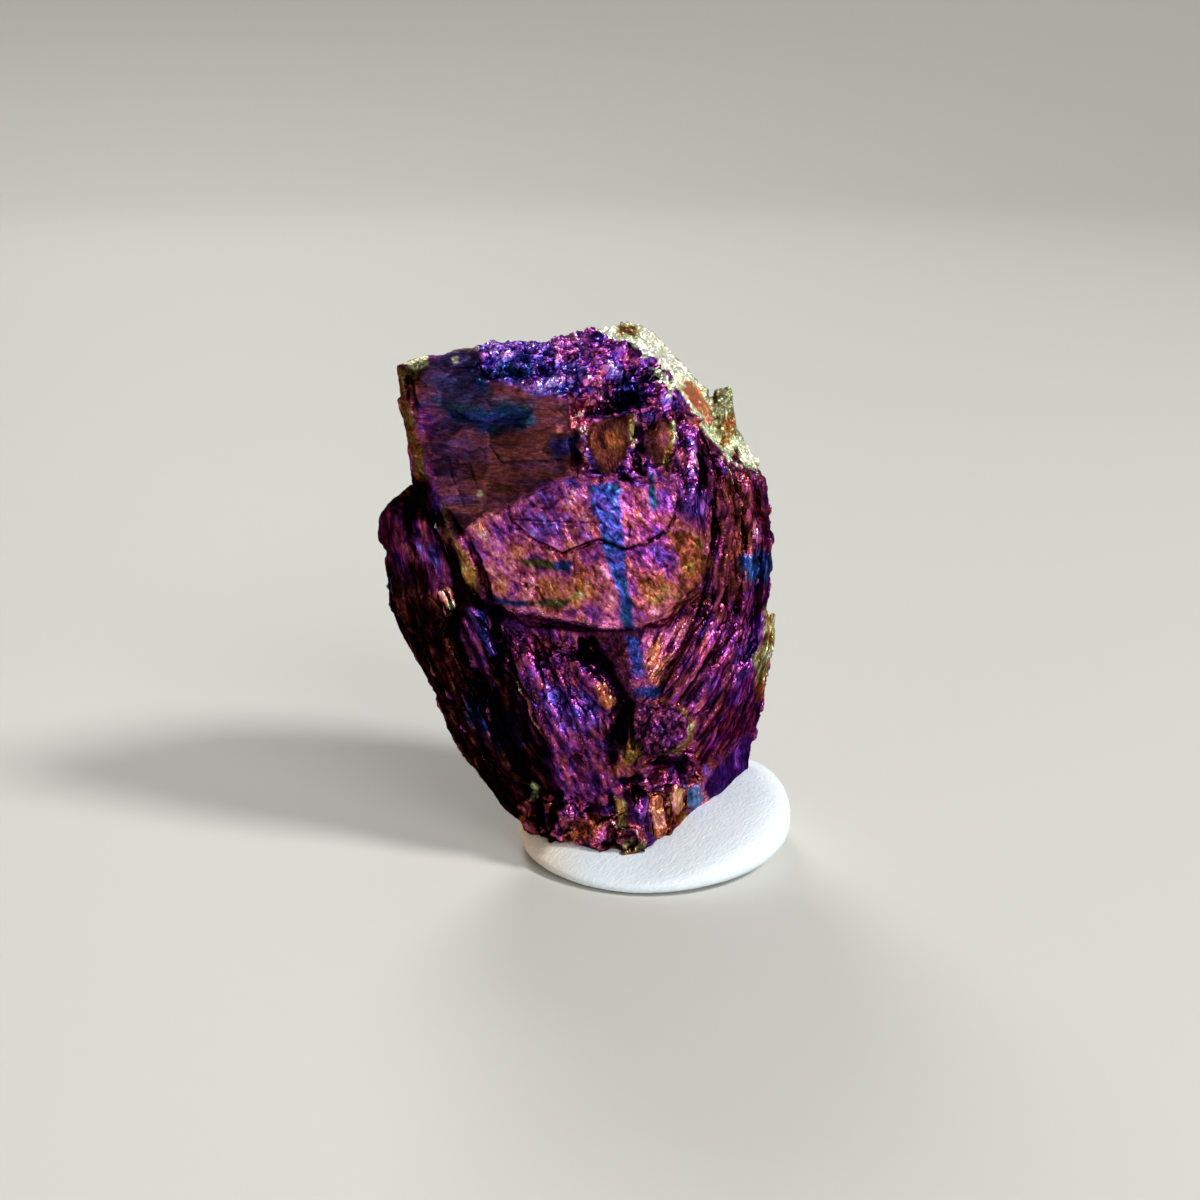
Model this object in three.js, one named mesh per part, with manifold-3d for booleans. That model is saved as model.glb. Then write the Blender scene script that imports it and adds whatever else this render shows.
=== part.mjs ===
// Peacock ore: a lump of tarnished copper ore standing on its narrow end in a pad of mounting putty.
// Millimetres, +Z up. The broad cleaved face looks along -Y, and the putty's underside is the plane Z = 0.
// The ore's corners are given from a point under its broad face; the group then moves the origin
// to the middle of the whole.
import * as THREE from "three";
import { ConvexGeometry } from "three/addons/geometries/ConvexGeometry.js";
import { ImprovedNoise } from "three/addons/math/ImprovedNoise.js";
import { MeshSurfaceSampler } from "three/addons/math/MeshSurfaceSampler.js";
import { TessellateModifier } from "three/addons/modifiers/TessellateModifier.js";
import { mergeVertices } from "three/addons/utils/BufferGeometryUtils.js";
import Module from "manifold-3d";

const wasm = await Module();
wasm.setup();

// Driving dimensions
const facetLength = 3.5; // longest edge of a facet on the ore's broken surface
const puttyRadius = 10.5; // pad seen from above
const puttyMiddle = [5.05, -2.5]; // centre of the pad, [x, y]
const puttyFrontHeight = 1.88; // pad's thickness at its front, where the ore has pressed it thin
const puttyRise = [0.2, 0.15]; // how fast the pad thickens, along +X and along +Y
const puttyThinFrom = [3, -9]; // where the thickening starts, [x, y]
const puttyEase = 2; // how gently it starts along +X
const puttyRim = 0.55; // fullness of the pad's edge seen from above, 1 for a ball and less for a squarer edge
const puttyDome = 0.75; // the same, seen from the side
const puttySwell = 1.1; // how far the domed top and bottom bulge past the thickness
const puttySettle = 0.3; // how far the pad's rounded underside is pressed flat
const footHeight = 9; // the ore's foot, up to which the putty is shaped to it
const socketGap = 0.45; // room left between the ore and the putty that it is pressed into
const wholeMiddleY = -1.3; // middle of ore and putty together, front to back
const mostSplits = 40; // rounds of splitting that bring every facet under its longest edge

// Big lumps of ore. Each is the convex block between its corners, [x, y, z].
const lumps = {
  upperSlab: [
    [-13.9, -5.5, 38.1], [-13.8, -5.3, 35.8], [-8.5, -5.2, 38.6], [-3.1, -5.0, 39.3], [0.8, -4.0, 39.9],
    [3.7, -4.2, 38.7], [6.8, -4.2, 35.6], [9.7, -3.6, 31.3], [11.6, -2.0, 29.9], [-8.4, -6.9, 37.3],
    [-0.6, -7.9, 36.6],
    [-12.7, -5.0, 29.2], [-10.6, -6.6, 24.2], [-9.4, -8.0, 25.7], [-7.8, -8.3, 21.4], [-3.5, -9.3, 20.2],
    [0.8, -9.9, 19.6], [4.4, -9.8, 19.8], [8.4, -8.4, 22.9], [7.2, -8.4, 29.5], [0.8, -10.0, 26.3],
    [13.1, 1.5, 28.3], [14.2, 2.0, 23.2], [13.8, 2.0, 19.0], [-12.6, -2.6, 37.4], [-10.2, 2.4, 35.9],
    [-12.3, -1.6, 33.0], [-10.4, 1.6, 29.0], [-5.0, 0.5, 38.5], [2.0, 4.0, 38.0], [9.0, 4.0, 33.0],
    [11.0, 7.0, 22.0], [0.0, 7.5, 22.0], [-8.0, 4.5, 24.0],
    [-6.0, -3.0, 17.0], [9.0, -2.0, 17.0],
  ],
  lowerBody: [
    [-6.5, -6.4, 19.5], [-2.1, -7.4, 19.3], [3.7, -7.6, 19.0], [8.1, -7.2, 20.4], [13.3, 0.8, 19.8],
    [14.4, 1.5, 16.4], [14.2, 1.6, 12.8], [13.2, 1.4, 9.9], [13.1, 1.2, 8.1], [12.6, 1.0, 6.8],
    [12.5, 0.5, 4.7], [8.9, -3.5, 3.9], [6.6, -6.6, 2.5], [3.8, -9.0, 1.6], [1.2, -8.6, 1.9],
    [-2.2, -7.6, 1.9], [-4.6, -5.2, 2.3], [0.8, -9.2, 9.3], [-2.6, -8.6, 12.3], [5.2, -8.6, 10.7],
    [9.8, -5.5, 12.7], [9.0, 7.0, 16.0], [11.0, 5.0, 8.0], [6.0, 5.5, 3.0], [0.0, 6.0, 2.5],
    [-4.0, 3.0, 3.0], [-3.0, 7.5, 10.0], [2.0, 9.0, 15.0],
  ],
  leftWing: [
    [-16.5, 1.2, 25.3], [-15.1, 1.0, 27.1], [-13.1, 0.4, 28.3], [-14.9, 1.2, 22.3], [-15.3, 0.4, 19.6],
    [-14.9, 0.0, 17.4], [-12.5, -1.8, 13.9], [-10.8, -2.8, 10.6], [-9.2, -3.6, 7.1], [-7.2, -4.0, 4.4],
    [-4.7, -4.8, 2.2], [-12.2, -3.4, 26.1], [-10.7, -5.2, 20.4], [-7.4, -6.6, 13.9], [-4.5, -6.8, 7.6],
    [-9.2, -5.0, 23.5], [0.0, -4.0, 20.0], [0.0, -5.0, 8.0], [-10.0, 5.0, 24.0], [-9.0, 5.0, 14.0],
    [-4.0, 6.0, 8.0], [-2.0, 6.0, 26.0],
  ],
  crest: [
    [0.6, -3.6, 40.4], [2.7, 0.6, 40.0], [4.7, 2.0, 39.0], [7.3, 3.0, 35.8], [8.8, 3.2, 34.9],
    [3.7, -4.2, 38.7], [6.8, -4.2, 35.6], [9.7, -3.6, 31.3], [11.2, 2.5, 31.9], [11.6, 2.8, 30.2],
    [13.1, 1.5, 28.3], [5.0, 0.0, 30.0], [0.0, 4.0, 36.0], [8.0, 6.0, 30.0],
  ],
  knob: [
    [9.5, 3.0, 34.9], [10.8, 3.2, 35.0], [11.0, 3.4, 33.6], [11.3, 3.0, 31.4], [9.7, -1.5, 33.2],
    [10.9, -1.0, 30.9], [8.0, 4.5, 32.0], [9.0, 1.0, 30.0],
  ],
  backShoulder: [
    [-9.0, 3.5, 35.0], [-1.0, 6.8, 37.2], [4.5, 6.5, 34.0], [1.0, 9.4, 28.5], [-5.0, 8.6, 27.0],
    [-11.6, 4.2, 27.5], [-9.5, 6.4, 20.5], [0.0, 0.0, 30.0], [0.0, 2.0, 20.0],
  ],
  backFace: [
    [3.0, 8.0, 33.5], [9.0, 7.4, 32.0], [12.6, 5.0, 26.5], [12.0, 7.8, 19.5], [5.0, 10.6, 22.5],
    [1.0, 10.2, 26.0], [1.5, 9.6, 17.0], [8.5, 9.2, 15.5], [6.0, 0.0, 28.0], [6.0, 0.0, 18.0],
  ],
  backFoot: [
    [-9.8, 4.2, 16.5], [-2.5, 8.8, 18.0], [3.0, 8.4, 12.5], [9.0, 7.6, 12.0], [10.5, 5.6, 7.0],
    [6.5, 6.6, 3.6], [0.0, 6.8, 3.2], [-4.5, 3.5, 4.5], [-5.5, 6.6, 11.0], [0.0, 0.0, 16.0],
  ],
  // Fills the joins between the others from inside.
  heart: [
    [-9.5, -2.0, 34.0], [1.0, -2.0, 37.5], [3.0, 3.0, 36.0], [8.5, 2.0, 32.0], [10.5, 3.0, 26.0],
    [10.0, 5.0, 18.0], [10.5, 2.0, 9.0], [2.0, 4.0, 4.0], [-4.0, 1.0, 5.0], [-10.5, 1.0, 18.0],
    [-11.0, 1.0, 25.0], [-3.0, 6.5, 26.0], [5.0, 8.0, 27.0], [2.0, 8.0, 14.0], [0.0, -6.0, 22.0],
    [1.0, -6.0, 8.0],
  ],
};

// Smaller blocks that stand proud of the broken faces.
const blocks = {
  bronzeFacet: [
    [0.4, -9.0, 34.8], [2.5, -8.7, 35.3], [3.5, -9.3, 33.4], [2.2, -10.6, 30.8], [1.2, -10.7, 30.6],
    [-0.2, -10.2, 32.4], [1.5, -6.0, 33.0],
  ],
  redFacet: [
    [4.6, -8.0, 34.6], [6.0, -7.6, 34.2], [6.4, -8.2, 32.6], [5.7, -9.5, 30.8], [3.9, -9.8, 30.9],
    [3.6, -9.3, 32.2], [4.5, -5.0, 32.5],
  ],
  violetKnuckle: [
    [3.5, -7.8, 37.4], [5.5, -6.8, 37.2], [6.0, -7.2, 34.9], [4.0, -8.7, 34.7], [4.4, -4.0, 36.0],
  ],
  topKnuckle: [
    [0.6, -7.0, 39.5], [3.2, -6.2, 39.4], [3.7, -7.0, 37.5], [1.0, -8.6, 37.0], [-0.6, -8.2, 37.8],
    [1.8, -3.0, 37.5],
  ],
  rimBump: [
    [-10.7, -5.6, 38.2], [-9.6, -5.4, 39.1], [-8.2, -5.2, 39.3], [-7.1, -5.4, 38.9], [-8.0, -6.7, 38.0],
    [-9.9, -6.7, 38.0], [-9.0, -3.0, 38.0],
  ],
  pinkFacet: [
    [-11.3, -5.7, 21.4], [-10.6, -5.9, 21.4], [-10.0, -6.2, 19.6], [-10.6, -6.0, 19.2], [-10.0, -3.5, 20.3],
  ],
  leftScab: [
    [-15.6, 0.6, 20.6], [-14.8, -1.0, 20.8], [-14.3, -1.3, 18.4], [-15.4, 0.2, 17.9], [-14.0, 2.0, 19.0],
  ],
  nodule: [
    [3.8, -8.8, 11.4], [4.6, -9.1, 12.8], [6.2, -8.8, 13.1], [7.5, -7.8, 11.8], [7.3, -8.0, 10.2],
    [5.6, -9.2, 9.6], [4.2, -9.3, 10.0], [5.6, -9.8, 11.5], [5.6, -5.0, 11.2],
  ],
  copperSlab: [[4.3, -9.1, 6.4], [5.6, -8.9, 6.6], [5.9, -9.0, 3.3], [4.8, -9.3, 2.9], [5.0, -6.0, 4.5]],
  copperFin: [[5.8, -8.4, 6.8], [7.2, -7.6, 6.6], [7.4, -7.3, 4.2], [6.2, -8.5, 3.4], [6.0, -5.5, 5.0]],
  steelFacet: [[7.3, -7.2, 6.4], [8.4, -6.3, 6.2], [8.5, -5.9, 4.4], [7.4, -7.0, 3.9], [7.0, -4.0, 5.0]],
  toeFacet: [[1.6, -9.4, 4.2], [3.6, -9.5, 4.0], [4.2, -9.4, 2.0], [2.4, -9.3, 1.7], [2.8, -6.0, 3.0]],
  heelFacet: [[-3.4, -8.4, 5.6], [-1.4, -8.9, 5.8], [-1.2, -8.9, 3.4], [-3.2, -7.9, 3.2], [-2.0, -5.0, 4.4]],
  rightScab: [[14.2, 1.0, 17.7], [14.6, 2.6, 17.2], [14.7, 2.8, 14.6], [14.3, 0.8, 14.4], [12.0, 2.0, 16.0]],
};

// Raised splinters: [start, end, width, height]. Hollows take the same form and are cut away.
const splinters = {
  leftRim: [[-10.3, -6.2, 25.8], [-8.3, -7.6, 20.8], 1.1, 0.7],
  violetBlade: [[-8.9, -5.8, 20.0], [-6.0, -7.4, 15.4], 1.6, 0.8],
  archLeft: [[3.2, -9.3, 8.7], [5.4, -8.9, 10.0], 1.1, 0.6],
  archRight: [[5.0, -9.0, 10.0], [7.4, -7.7, 9.2], 1.1, 0.6],
  archEnd: [[7.0, -7.9, 9.6], [8.6, -6.5, 7.4], 1.1, 0.6],
  orangeTongue: [[-0.2, -8.9, 16.2], [1.6, -9.3, 12.6], 1.5, 0.6],
};
const hollows = {
  wingCleftTop: [[-12.2, -5.2, 28.4], [-8.6, -7.2, 19.6], 1.5, 1.9],
  wingCleftLow: [[-9.0, -6.8, 20.6], [-4.6, -8.4, 11.6], 1.6, 1.5],
  grooveTop: [[-1.2, -8.2, 19.0], [2.3, -8.9, 13.6], 2.2, 1.9],
  grooveLow: [[1.9, -9.2, 15.0], [2.6, -9.3, 8.6], 2.1, 1.9],
  archCave: [[4.0, -9.4, 7.6], [7.4, -8.2, 7.9], 2.2, 1.3],
  cornerPit: [[-13.0, -6.3, 38.0], [-12.4, -6.2, 33.8], 1.2, 0.9],
  blackFacet: [[1.9, -8.8, 37.4], [3.4, -8.0, 33.8], 1.7, 1.3],
  crestNotch: [[8.2, 5.5, 35.2], [9.8, -4.5, 33.6], 1.6, 1.0],
  wingNotch: [[-16.5, -1.5, 22.5], [-16.4, 4.0, 22.1], 3.0, 1.4],
  rightWaist: [[14.5, -2.5, 19.1], [14.6, 4.5, 18.8], 1.4, 1.1],
};

// Bands of striations: ridges laid between a first and a last guide line.
const bands = {
  rightFlank: {
    first: [[8.0, -6.0, 32.0], [9.6, -6.0, 27.5], [9.9, -6.4, 23.0], [8.6, -7.2, 18.6], [5.2, -8.7, 14.0]],
    last: [[12.2, -1.2, 30.0], [13.6, 0.0, 25.5], [13.7, 0.2, 19.5], [12.4, -2.6, 13.5], [8.8, -5.9, 9.4]],
    ridges: 5,
    links: 3,
    width: 1.6,
    height: 0.6,
  },
  middle: {
    first: [[-6.6, -7.0, 17.6], [-5.0, -8.2, 13.8], [-2.2, -8.9, 7.6]],
    last: [[-0.8, -8.1, 18.0], [0.4, -9.1, 13.8], [1.3, -9.3, 9.4]],
    ridges: 4,
    links: 2,
    width: 1.4,
    height: 0.55,
  },
  wing: {
    first: [[-12.2, -3.7, 25.0], [-10.2, -5.6, 19.4], [-7.6, -6.6, 13.4], [-5.4, -6.5, 7.0]],
    last: [[-15.1, 0.4, 23.0], [-14.4, -0.9, 17.0], [-11.4, -2.9, 11.2], [-8.2, -4.1, 5.4]],
    ridges: 4,
    links: 3,
    width: 1.5,
    height: 0.55,
  },
  back: {
    first: [[-8.0, 6.4, 32.0], [-7.4, 7.4, 26.0], [-7.0, 6.8, 17.0]],
    last: [[1.0, 8.6, 34.0], [1.4, 10.2, 28.0], [2.4, 10.0, 19.0]],
    ridges: 3,
    links: 2,
    width: 1.8,
    height: 0.7,
  },
};

// Coarse crystals, thrown over the broken surface where a zone says so and no closer than its spacing.
const crystalSeed = 11;
const crystalThrows = 900;
const crystalSink = 0.42; // how deep a crystal's middle lies, as a share of its size
const crystalZones = {
  crest: { spacing: 1.9, size: [1.2, 2.1], holds: (p, n) => p.z > 28 && p.x > 1 && p.y > -4 && n.x + n.z > 0.5 },
  topBand: { spacing: 1.9, size: [1.3, 2.0], holds: (p, n) => p.z > 35.5 && p.x > -8 && n.z > 0.35 },
  rightEdge: { spacing: 3.6, size: [1.2, 2.0], holds: (p, n) => n.x > 0.85 && p.z > 9 },
  toe: { spacing: 2.4, size: [1.1, 1.7], holds: (p, n) => p.z < 5.5 && n.y < -0.6 },
  back: { spacing: 3.9, size: [1.6, 3.0], holds: (p, n) => n.y > 0.35 && p.z > 4 },
};

// A closed geometry as a solid, with its shared corners merged.
function solidOf(geometry) {
  const bare = new THREE.BufferGeometry().setAttribute("position", geometry.getAttribute("position"));
  if (geometry.index) bare.setIndex(geometry.index);
  const merged = mergeVertices(bare, 1e-4);
  return new wasm.Manifold(new wasm.Mesh({
    numProp: 3,
    vertProperties: new Float32Array(merged.getAttribute("position").array),
    triVerts: new Uint32Array(merged.index.array),
  }));
}

function geometryOf(solid) {
  const mesh = solid.getMesh();
  return new THREE.BufferGeometry()
    .setAttribute("position", new THREE.BufferAttribute(mesh.vertProperties, 3))
    .setIndex(new THREE.BufferAttribute(mesh.triVerts, 1));
}

function joined(solids) {
  return solids.reduce((whole, piece) => whole.add(piece));
}

function hull(points) {
  return solidOf(new ConvexGeometry(points));
}

function block(corners) {
  return hull(corners.map((corner) => new THREE.Vector3(...corner)));
}

// A long faceted sliver that lies half sunk in the face, with two girths along it. Each girth's place is
// a share of the length, its sides are shares of the width, and its top and root are shares of the height.
const sliverGirths = [
  { place: 0.3, sides: [0.5, -0.42], reach: [1, -1.6] },
  { place: 0.72, sides: [0.36, -0.3], reach: [0.8] },
];

function sliver(start, end, width, height, outward = new THREE.Vector3(0, -1, 0)) {
  const along = end.clone().sub(start);
  const side = along.clone().cross(outward).normalize();
  const lift = side.clone().cross(along).normalize();
  const corners = [start, end];
  for (const { place, sides, reach } of sliverGirths) {
    const middle = start.clone().addScaledVector(along, place);
    corners.push(...sides.map((share) => middle.clone().addScaledVector(side, share * width)));
    corners.push(...reach.map((share) => middle.clone().addScaledVector(lift, share * height)));
  }
  return hull(corners);
}

function listedSliver([start, end, width, height]) {
  return sliver(new THREE.Vector3(...start), new THREE.Vector3(...end), width, height);
}

// Ridges of one band, each a chain of slivers that overlap end to end.
function striations({ first, last, ridges, links, width, height }, random) {
  const curveThrough = (points) => new THREE.CatmullRomCurve3(points.map((p) => new THREE.Vector3(...p)));
  const firstCurve = curveThrough(first);
  const lastCurve = curveThrough(last);
  const middleAxis = new THREE.Vector3(0, 0, 1);
  const solids = [];
  for (let ridge = 0; ridge < ridges; ridge++) {
    const across = (ridge + 0.5 * random()) / (ridges - 0.5);
    const pointAt = (t) => firstCurve.getPoint(t).lerp(lastCurve.getPoint(t), across);
    for (let link = 0; link < links; link++) {
      const start = pointAt(Math.max(0, (link - 0.1 * random()) / links));
      const end = pointAt(Math.min(1, (link + 0.9 + 0.2 * random()) / links));
      const outward = start.clone().add(end).multiplyScalar(0.5).projectOnPlane(middleAxis).normalize();
      const ownWidth = width * (0.75 + 0.5 * random());
      solids.push(sliver(start, end, ownWidth, height * (0.6 + 0.8 * random()), outward));
    }
  }
  return solids;
}

// Park-Miller generator, so that the stone comes out the same each time.
function seededRandom(seed) {
  let state = seed;
  return () => {
    state = (state * 48271) % 2147483647;
    return state / 2147483647;
  };
}

// A crystal is a box with its corners knocked about, turned any way up.
const crystalShape = new THREE.Vector3(1, 0.8, 0.65);

function crystal(centre, size, random) {
  const [turnX, turnY, turnZ] = [random(), random(), random()].map((share) => share * 2 * Math.PI);
  const turn = new THREE.Euler(turnX, turnY, turnZ);
  const points = [];
  for (const x of [-1, 1]) {
    for (const y of [-1, 1]) {
      for (const z of [-1, 1]) {
        const corner = new THREE.Vector3(x, y, z).multiply(crystalShape);
        corner.multiplyScalar(0.5 * size * (0.8 + 0.4 * random()));
        points.push(corner.applyEuler(turn).add(centre));
      }
    }
  }
  return hull(points);
}

// Throws points over the lumps' surface and grows a crystal at each that falls in a zone clear of the others.
function crystalsOn(solid, random) {
  const surface = new THREE.Mesh(geometryOf(solid).toNonIndexed());
  surface.geometry.computeVertexNormals();
  const sampler = new MeshSurfaceSampler(surface).setRandomGenerator(random).build();
  const centre = new THREE.Vector3();
  const normal = new THREE.Vector3();
  const grown = [];
  const solids = [];
  for (let i = 0; i < crystalThrows; i++) {
    sampler.sample(centre, normal);
    const zone = Object.values(crystalZones).find((candidate) => candidate.holds(centre, normal));
    if (!zone || grown.some((other) => other.distanceTo(centre) < zone.spacing)) continue;
    grown.push(centre.clone());
    const size = THREE.MathUtils.lerp(zone.size[0], zone.size[1], random());
    solids.push(crystal(centre.addScaledVector(normal, -crystalSink * size), size, random));
  }
  return solids;
}

const noise = new ImprovedNoise();

// Broken ore: broad swells with smaller knocks on them. The cleaved plates at the front stay nearly smooth.
const brokenness = {
  swell: { size: 5.1, rise: 0.5, cleavedRise: 0.2, offset: [7, 3, 11] },
  knock: { size: 1.9, rise: 0.4, cleavedRise: 0.08, offset: [2, 17, 5] },
};
const cleavedFace = { behind: -6.0, bottom: 20, top: 36.5, right: 7 };

function brokenRelief(point) {
  const { behind, bottom, top, right } = cleavedFace;
  const cleaved = point.y < behind && point.z > bottom && point.z < top && point.x < right;
  let rise = 0;
  for (const layer of Object.values(brokenness)) {
    const at = point.clone().divideScalar(layer.size).add(new THREE.Vector3(...layer.offset));
    rise += (cleaved ? layer.cleavedRise : layer.rise) * noise.noise(at.x, at.y, at.z);
  }
  return rise;
}

// Splits long facets, then pushes each corner in or out along its normal by what relief gives there.
function weather(solid, longest, relief) {
  const split = new TessellateModifier(longest, mostSplits).modify(geometryOf(solid));
  const geometry = mergeVertices(split, 1e-3);
  geometry.computeVertexNormals();
  const position = geometry.getAttribute("position");
  const normal = geometry.getAttribute("normal");
  const point = new THREE.Vector3();
  const outward = new THREE.Vector3();
  for (let i = 0; i < position.count; i++) {
    point.fromBufferAttribute(position, i);
    outward.fromBufferAttribute(normal, i);
    point.addScaledVector(outward, relief(point));
    position.setXYZ(i, point.x, point.y, point.z);
  }
  return solidOf(geometry);
}

function makeOre() {
  const random = seededRandom(crystalSeed);
  const body = joined(Object.values(lumps).map(block));
  const ridges = Object.values(bands).flatMap((band) => striations(band, random));
  const cuts = Object.values(hollows).map(listedSliver);
  const proud = [...Object.values(blocks).map(block), ...Object.values(splinters).map(listedSliver)];
  proud.push(...crystalsOn(body, random));
  const rough = joined([body, ...ridges]).subtract(joined(cuts)).add(joined(proud));
  return weather(rough, facetLength, brokenRelief);
}

// The pad is a full-edged disc, pressed thin at the front and left, with its underside flat.
function makePutty(ore) {
  const ball = new THREE.SphereGeometry(1, 34, 16);
  ball.rotateX(Math.PI / 2);
  const position = ball.getAttribute("position");
  const point = new THREE.Vector3();
  for (let i = 0; i < position.count; i++) {
    point.fromBufferAttribute(position, i);
    const reach = Math.hypot(point.x, point.y);
    const spread = (puttyRadius * Math.pow(reach, puttyRim)) / Math.max(reach, 1e-6);
    const x = puttyMiddle[0] + spread * point.x;
    const y = puttyMiddle[1] + spread * point.y;
    const [pastX, pastY] = [x - puttyThinFrom[0], y - puttyThinFrom[1]];
    const rise = 0.5 * puttyRise[0] * (pastX + Math.hypot(pastX, puttyEase)) + puttyRise[1] * pastY;
    const dome = 1 + Math.sign(point.z) * Math.pow(Math.abs(point.z), puttyDome);
    const height = 0.5 * (puttyFrontHeight + rise) * puttySwell * dome - puttySettle;
    position.setXYZ(i, x, y, Math.max(0, height));
  }
  return solidOf(ball).subtract(socketFor(ore));
}

// The room that the ore's foot takes in the putty: the hull of the foot, swollen by the gap.
function socketFor(ore) {
  const position = geometryOf(ore).getAttribute("position");
  const foot = [];
  for (let i = 0; i < position.count; i++) {
    const point = new THREE.Vector3().fromBufferAttribute(position, i);
    if (point.z < footHeight) foot.push(point);
  }
  const middle = foot.reduce((sum, point) => sum.add(point), new THREE.Vector3()).divideScalar(foot.length);
  const swollen = foot.map((point) => {
    const outward = point.clone().sub(middle).normalize();
    return point.clone().addScaledVector(outward, socketGap);
  });
  return hull(swollen);
}

const group = new THREE.Group();
group.position.y = -wholeMiddleY;

function addPiece(name, solid, color, roughness, metalness) {
  const material = new THREE.MeshStandardMaterial({ color, roughness, metalness });
  const mesh = new THREE.Mesh(geometryOf(solid), material);
  mesh.name = name;
  group.add(mesh);
}

const ore = makeOre();
addPiece("ore", ore, 0x5a2a55, 0.35, 0.9);
addPiece("putty", makePutty(ore), 0xecebe6, 0.85, 0);

export default group;
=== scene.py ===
import math

import bmesh
import bpy
import numpy as np
from mathutils import Matrix, Vector


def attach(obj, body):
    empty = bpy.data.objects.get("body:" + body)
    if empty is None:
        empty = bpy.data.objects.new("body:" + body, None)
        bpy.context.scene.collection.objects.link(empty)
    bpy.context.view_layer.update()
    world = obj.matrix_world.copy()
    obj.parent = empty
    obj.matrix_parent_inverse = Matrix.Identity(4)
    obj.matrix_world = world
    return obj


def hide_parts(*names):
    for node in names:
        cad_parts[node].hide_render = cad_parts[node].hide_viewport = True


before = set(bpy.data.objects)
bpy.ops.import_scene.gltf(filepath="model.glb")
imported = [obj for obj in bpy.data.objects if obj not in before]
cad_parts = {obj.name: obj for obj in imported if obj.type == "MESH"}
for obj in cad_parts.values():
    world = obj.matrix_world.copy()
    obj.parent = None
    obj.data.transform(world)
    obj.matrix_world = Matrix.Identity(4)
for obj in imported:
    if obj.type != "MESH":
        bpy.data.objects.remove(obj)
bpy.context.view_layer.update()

metre = 0.001  # the pieces are shaped in millimetres and scaled to metres at the end

viewpoint = {
    "eye": (0.8, -149.8, 62.5),  # mm
    "pitchDown": 16.08,  # degrees below level, looking along +Y
    "lens": 61.5,
    "sensor": 36.0,
    "nearest": 0.01,  # m
    "frame": 1200,  # the front view is drawn in a square of this many pixels
}
pixelsPerMm = 13.9  # at the ore's front face


def addCamera():
    data = bpy.data.cameras.new("camera")
    data.lens = viewpoint["lens"]
    data.sensor_width = viewpoint["sensor"]
    data.clip_start = viewpoint["nearest"]
    camera = bpy.data.objects.new("camera", data)
    camera.location = [c * metre for c in viewpoint["eye"]]
    camera.rotation_euler = (math.radians(90 - viewpoint["pitchDown"]), 0, 0)
    bpy.context.collection.objects.link(camera)
    bpy.context.scene.camera = camera


def frontPixels(points):
    # where points in mm fall in the front view, as pixel columns and rows
    tilt = math.radians(viewpoint["pitchDown"])
    focal = viewpoint["lens"] / viewpoint["sensor"] * viewpoint["frame"]
    away = points - np.array(viewpoint["eye"])
    depth = away[:, 1] * math.cos(tilt) - away[:, 2] * math.sin(tilt)
    rise = away[:, 1] * math.sin(tilt) + away[:, 2] * math.cos(tilt)
    middle = viewpoint["frame"] / 2
    return middle + focal * away[:, 0] / depth, middle - focal * rise / depth


def smoothStep(low, high, value):
    t = np.clip((value - low) / (high - low), 0, 1)
    return t * t * (3 - 2 * t)


def bell(distance, width):
    # 1 on a line, falling to nothing past its width
    return np.exp(-((distance / width) ** 2))


def lineDistance(column, row, line):
    # distance in mm from each pixel place to a drawn line, which side it lies on, and how far along in mm
    best = np.full(column.shape, np.inf)
    side = np.ones(column.shape)
    along = np.zeros(column.shape)
    travelled = 0.0
    for (x0, y0), (x1, y1) in zip(line[:-1], line[1:]):
        dx, dy = x1 - x0, y1 - y0
        length = math.hypot(dx, dy)
        t = np.clip(((column - x0) * dx + (row - y0) * dy) / length**2, 0, 1)
        offX, offY = column - x0 - t * dx, row - y0 - t * dy
        distance = np.hypot(offX, offY)
        nearer = distance < best
        best = np.where(nearer, distance, best)
        side = np.where(nearer, np.sign(dx * (row - y0) - dy * (column - x0)), side)
        along = np.where(nearer, travelled + t * length, along)
        travelled += length
    return best / pixelsPerMm, side, along / pixelsPerMm


def lineLength(line):
    return sum(math.dist(a, b) for a, b in zip(line[:-1], line[1:])) / pixelsPerMm


def insideBy(column, row, outline):
    # how far inside a drawn outline each pixel place lies, in mm; negative outside
    closed = outline + outline[:1]
    distance, _, _ = lineDistance(column, row, closed)
    inside = np.zeros(column.shape, dtype=bool)
    for (x0, y0), (x1, y1) in zip(closed[:-1], closed[1:]):
        if y0 == y1:
            continue
        crosses = (row < max(y0, y1)) & (row >= min(y0, y1))
        inside ^= crosses & (column < x0 + (row - y0) * (x1 - x0) / (y1 - y0))
    return np.where(inside, distance, -distance)


randomCount = 4096  # random numbers that each noise draws from, a power of two
mixers = (73856093, 19349663, 83492791, 2654435761, 1274126177)  # large numbers that mix a place and a seed


def scramble(cells, seed):
    # the same pick from the random numbers each time for a whole-number place
    x, y, z = (cells[..., i].astype(np.int64) for i in range(3))
    mixed = x * mixers[0] ^ y * mixers[1] ^ z * mixers[2] ^ seed * mixers[3]
    mixed ^= mixed >> 13
    mixed *= mixers[4]
    return (mixed ^ (mixed >> 16)) & (randomCount - 1)


def swell(points, size, seed):
    # smooth noise, about -1 to 1, with humps of the given size in mm
    random = np.random.default_rng(seed)
    slopes = random.normal(size=(randomCount, 3))
    slopes /= np.linalg.norm(slopes, axis=1)[:, None]
    scaled = points / size
    cell = np.floor(scaled)
    part = scaled - cell
    fade = part**3 * (part * (part * 6 - 15) + 10)
    total = np.zeros(len(points))
    for corner in np.ndindex(2, 2, 2):
        corner = np.array(corner)
        slope = slopes[scramble(cell + corner, seed)]
        weight = np.prod(np.where(corner == 1, fade, 1 - fade), axis=1)
        total += weight * np.einsum("ij,ij->i", slope, part - corner)
    return total * 1.7  # brings the humps up to about 1


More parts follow.
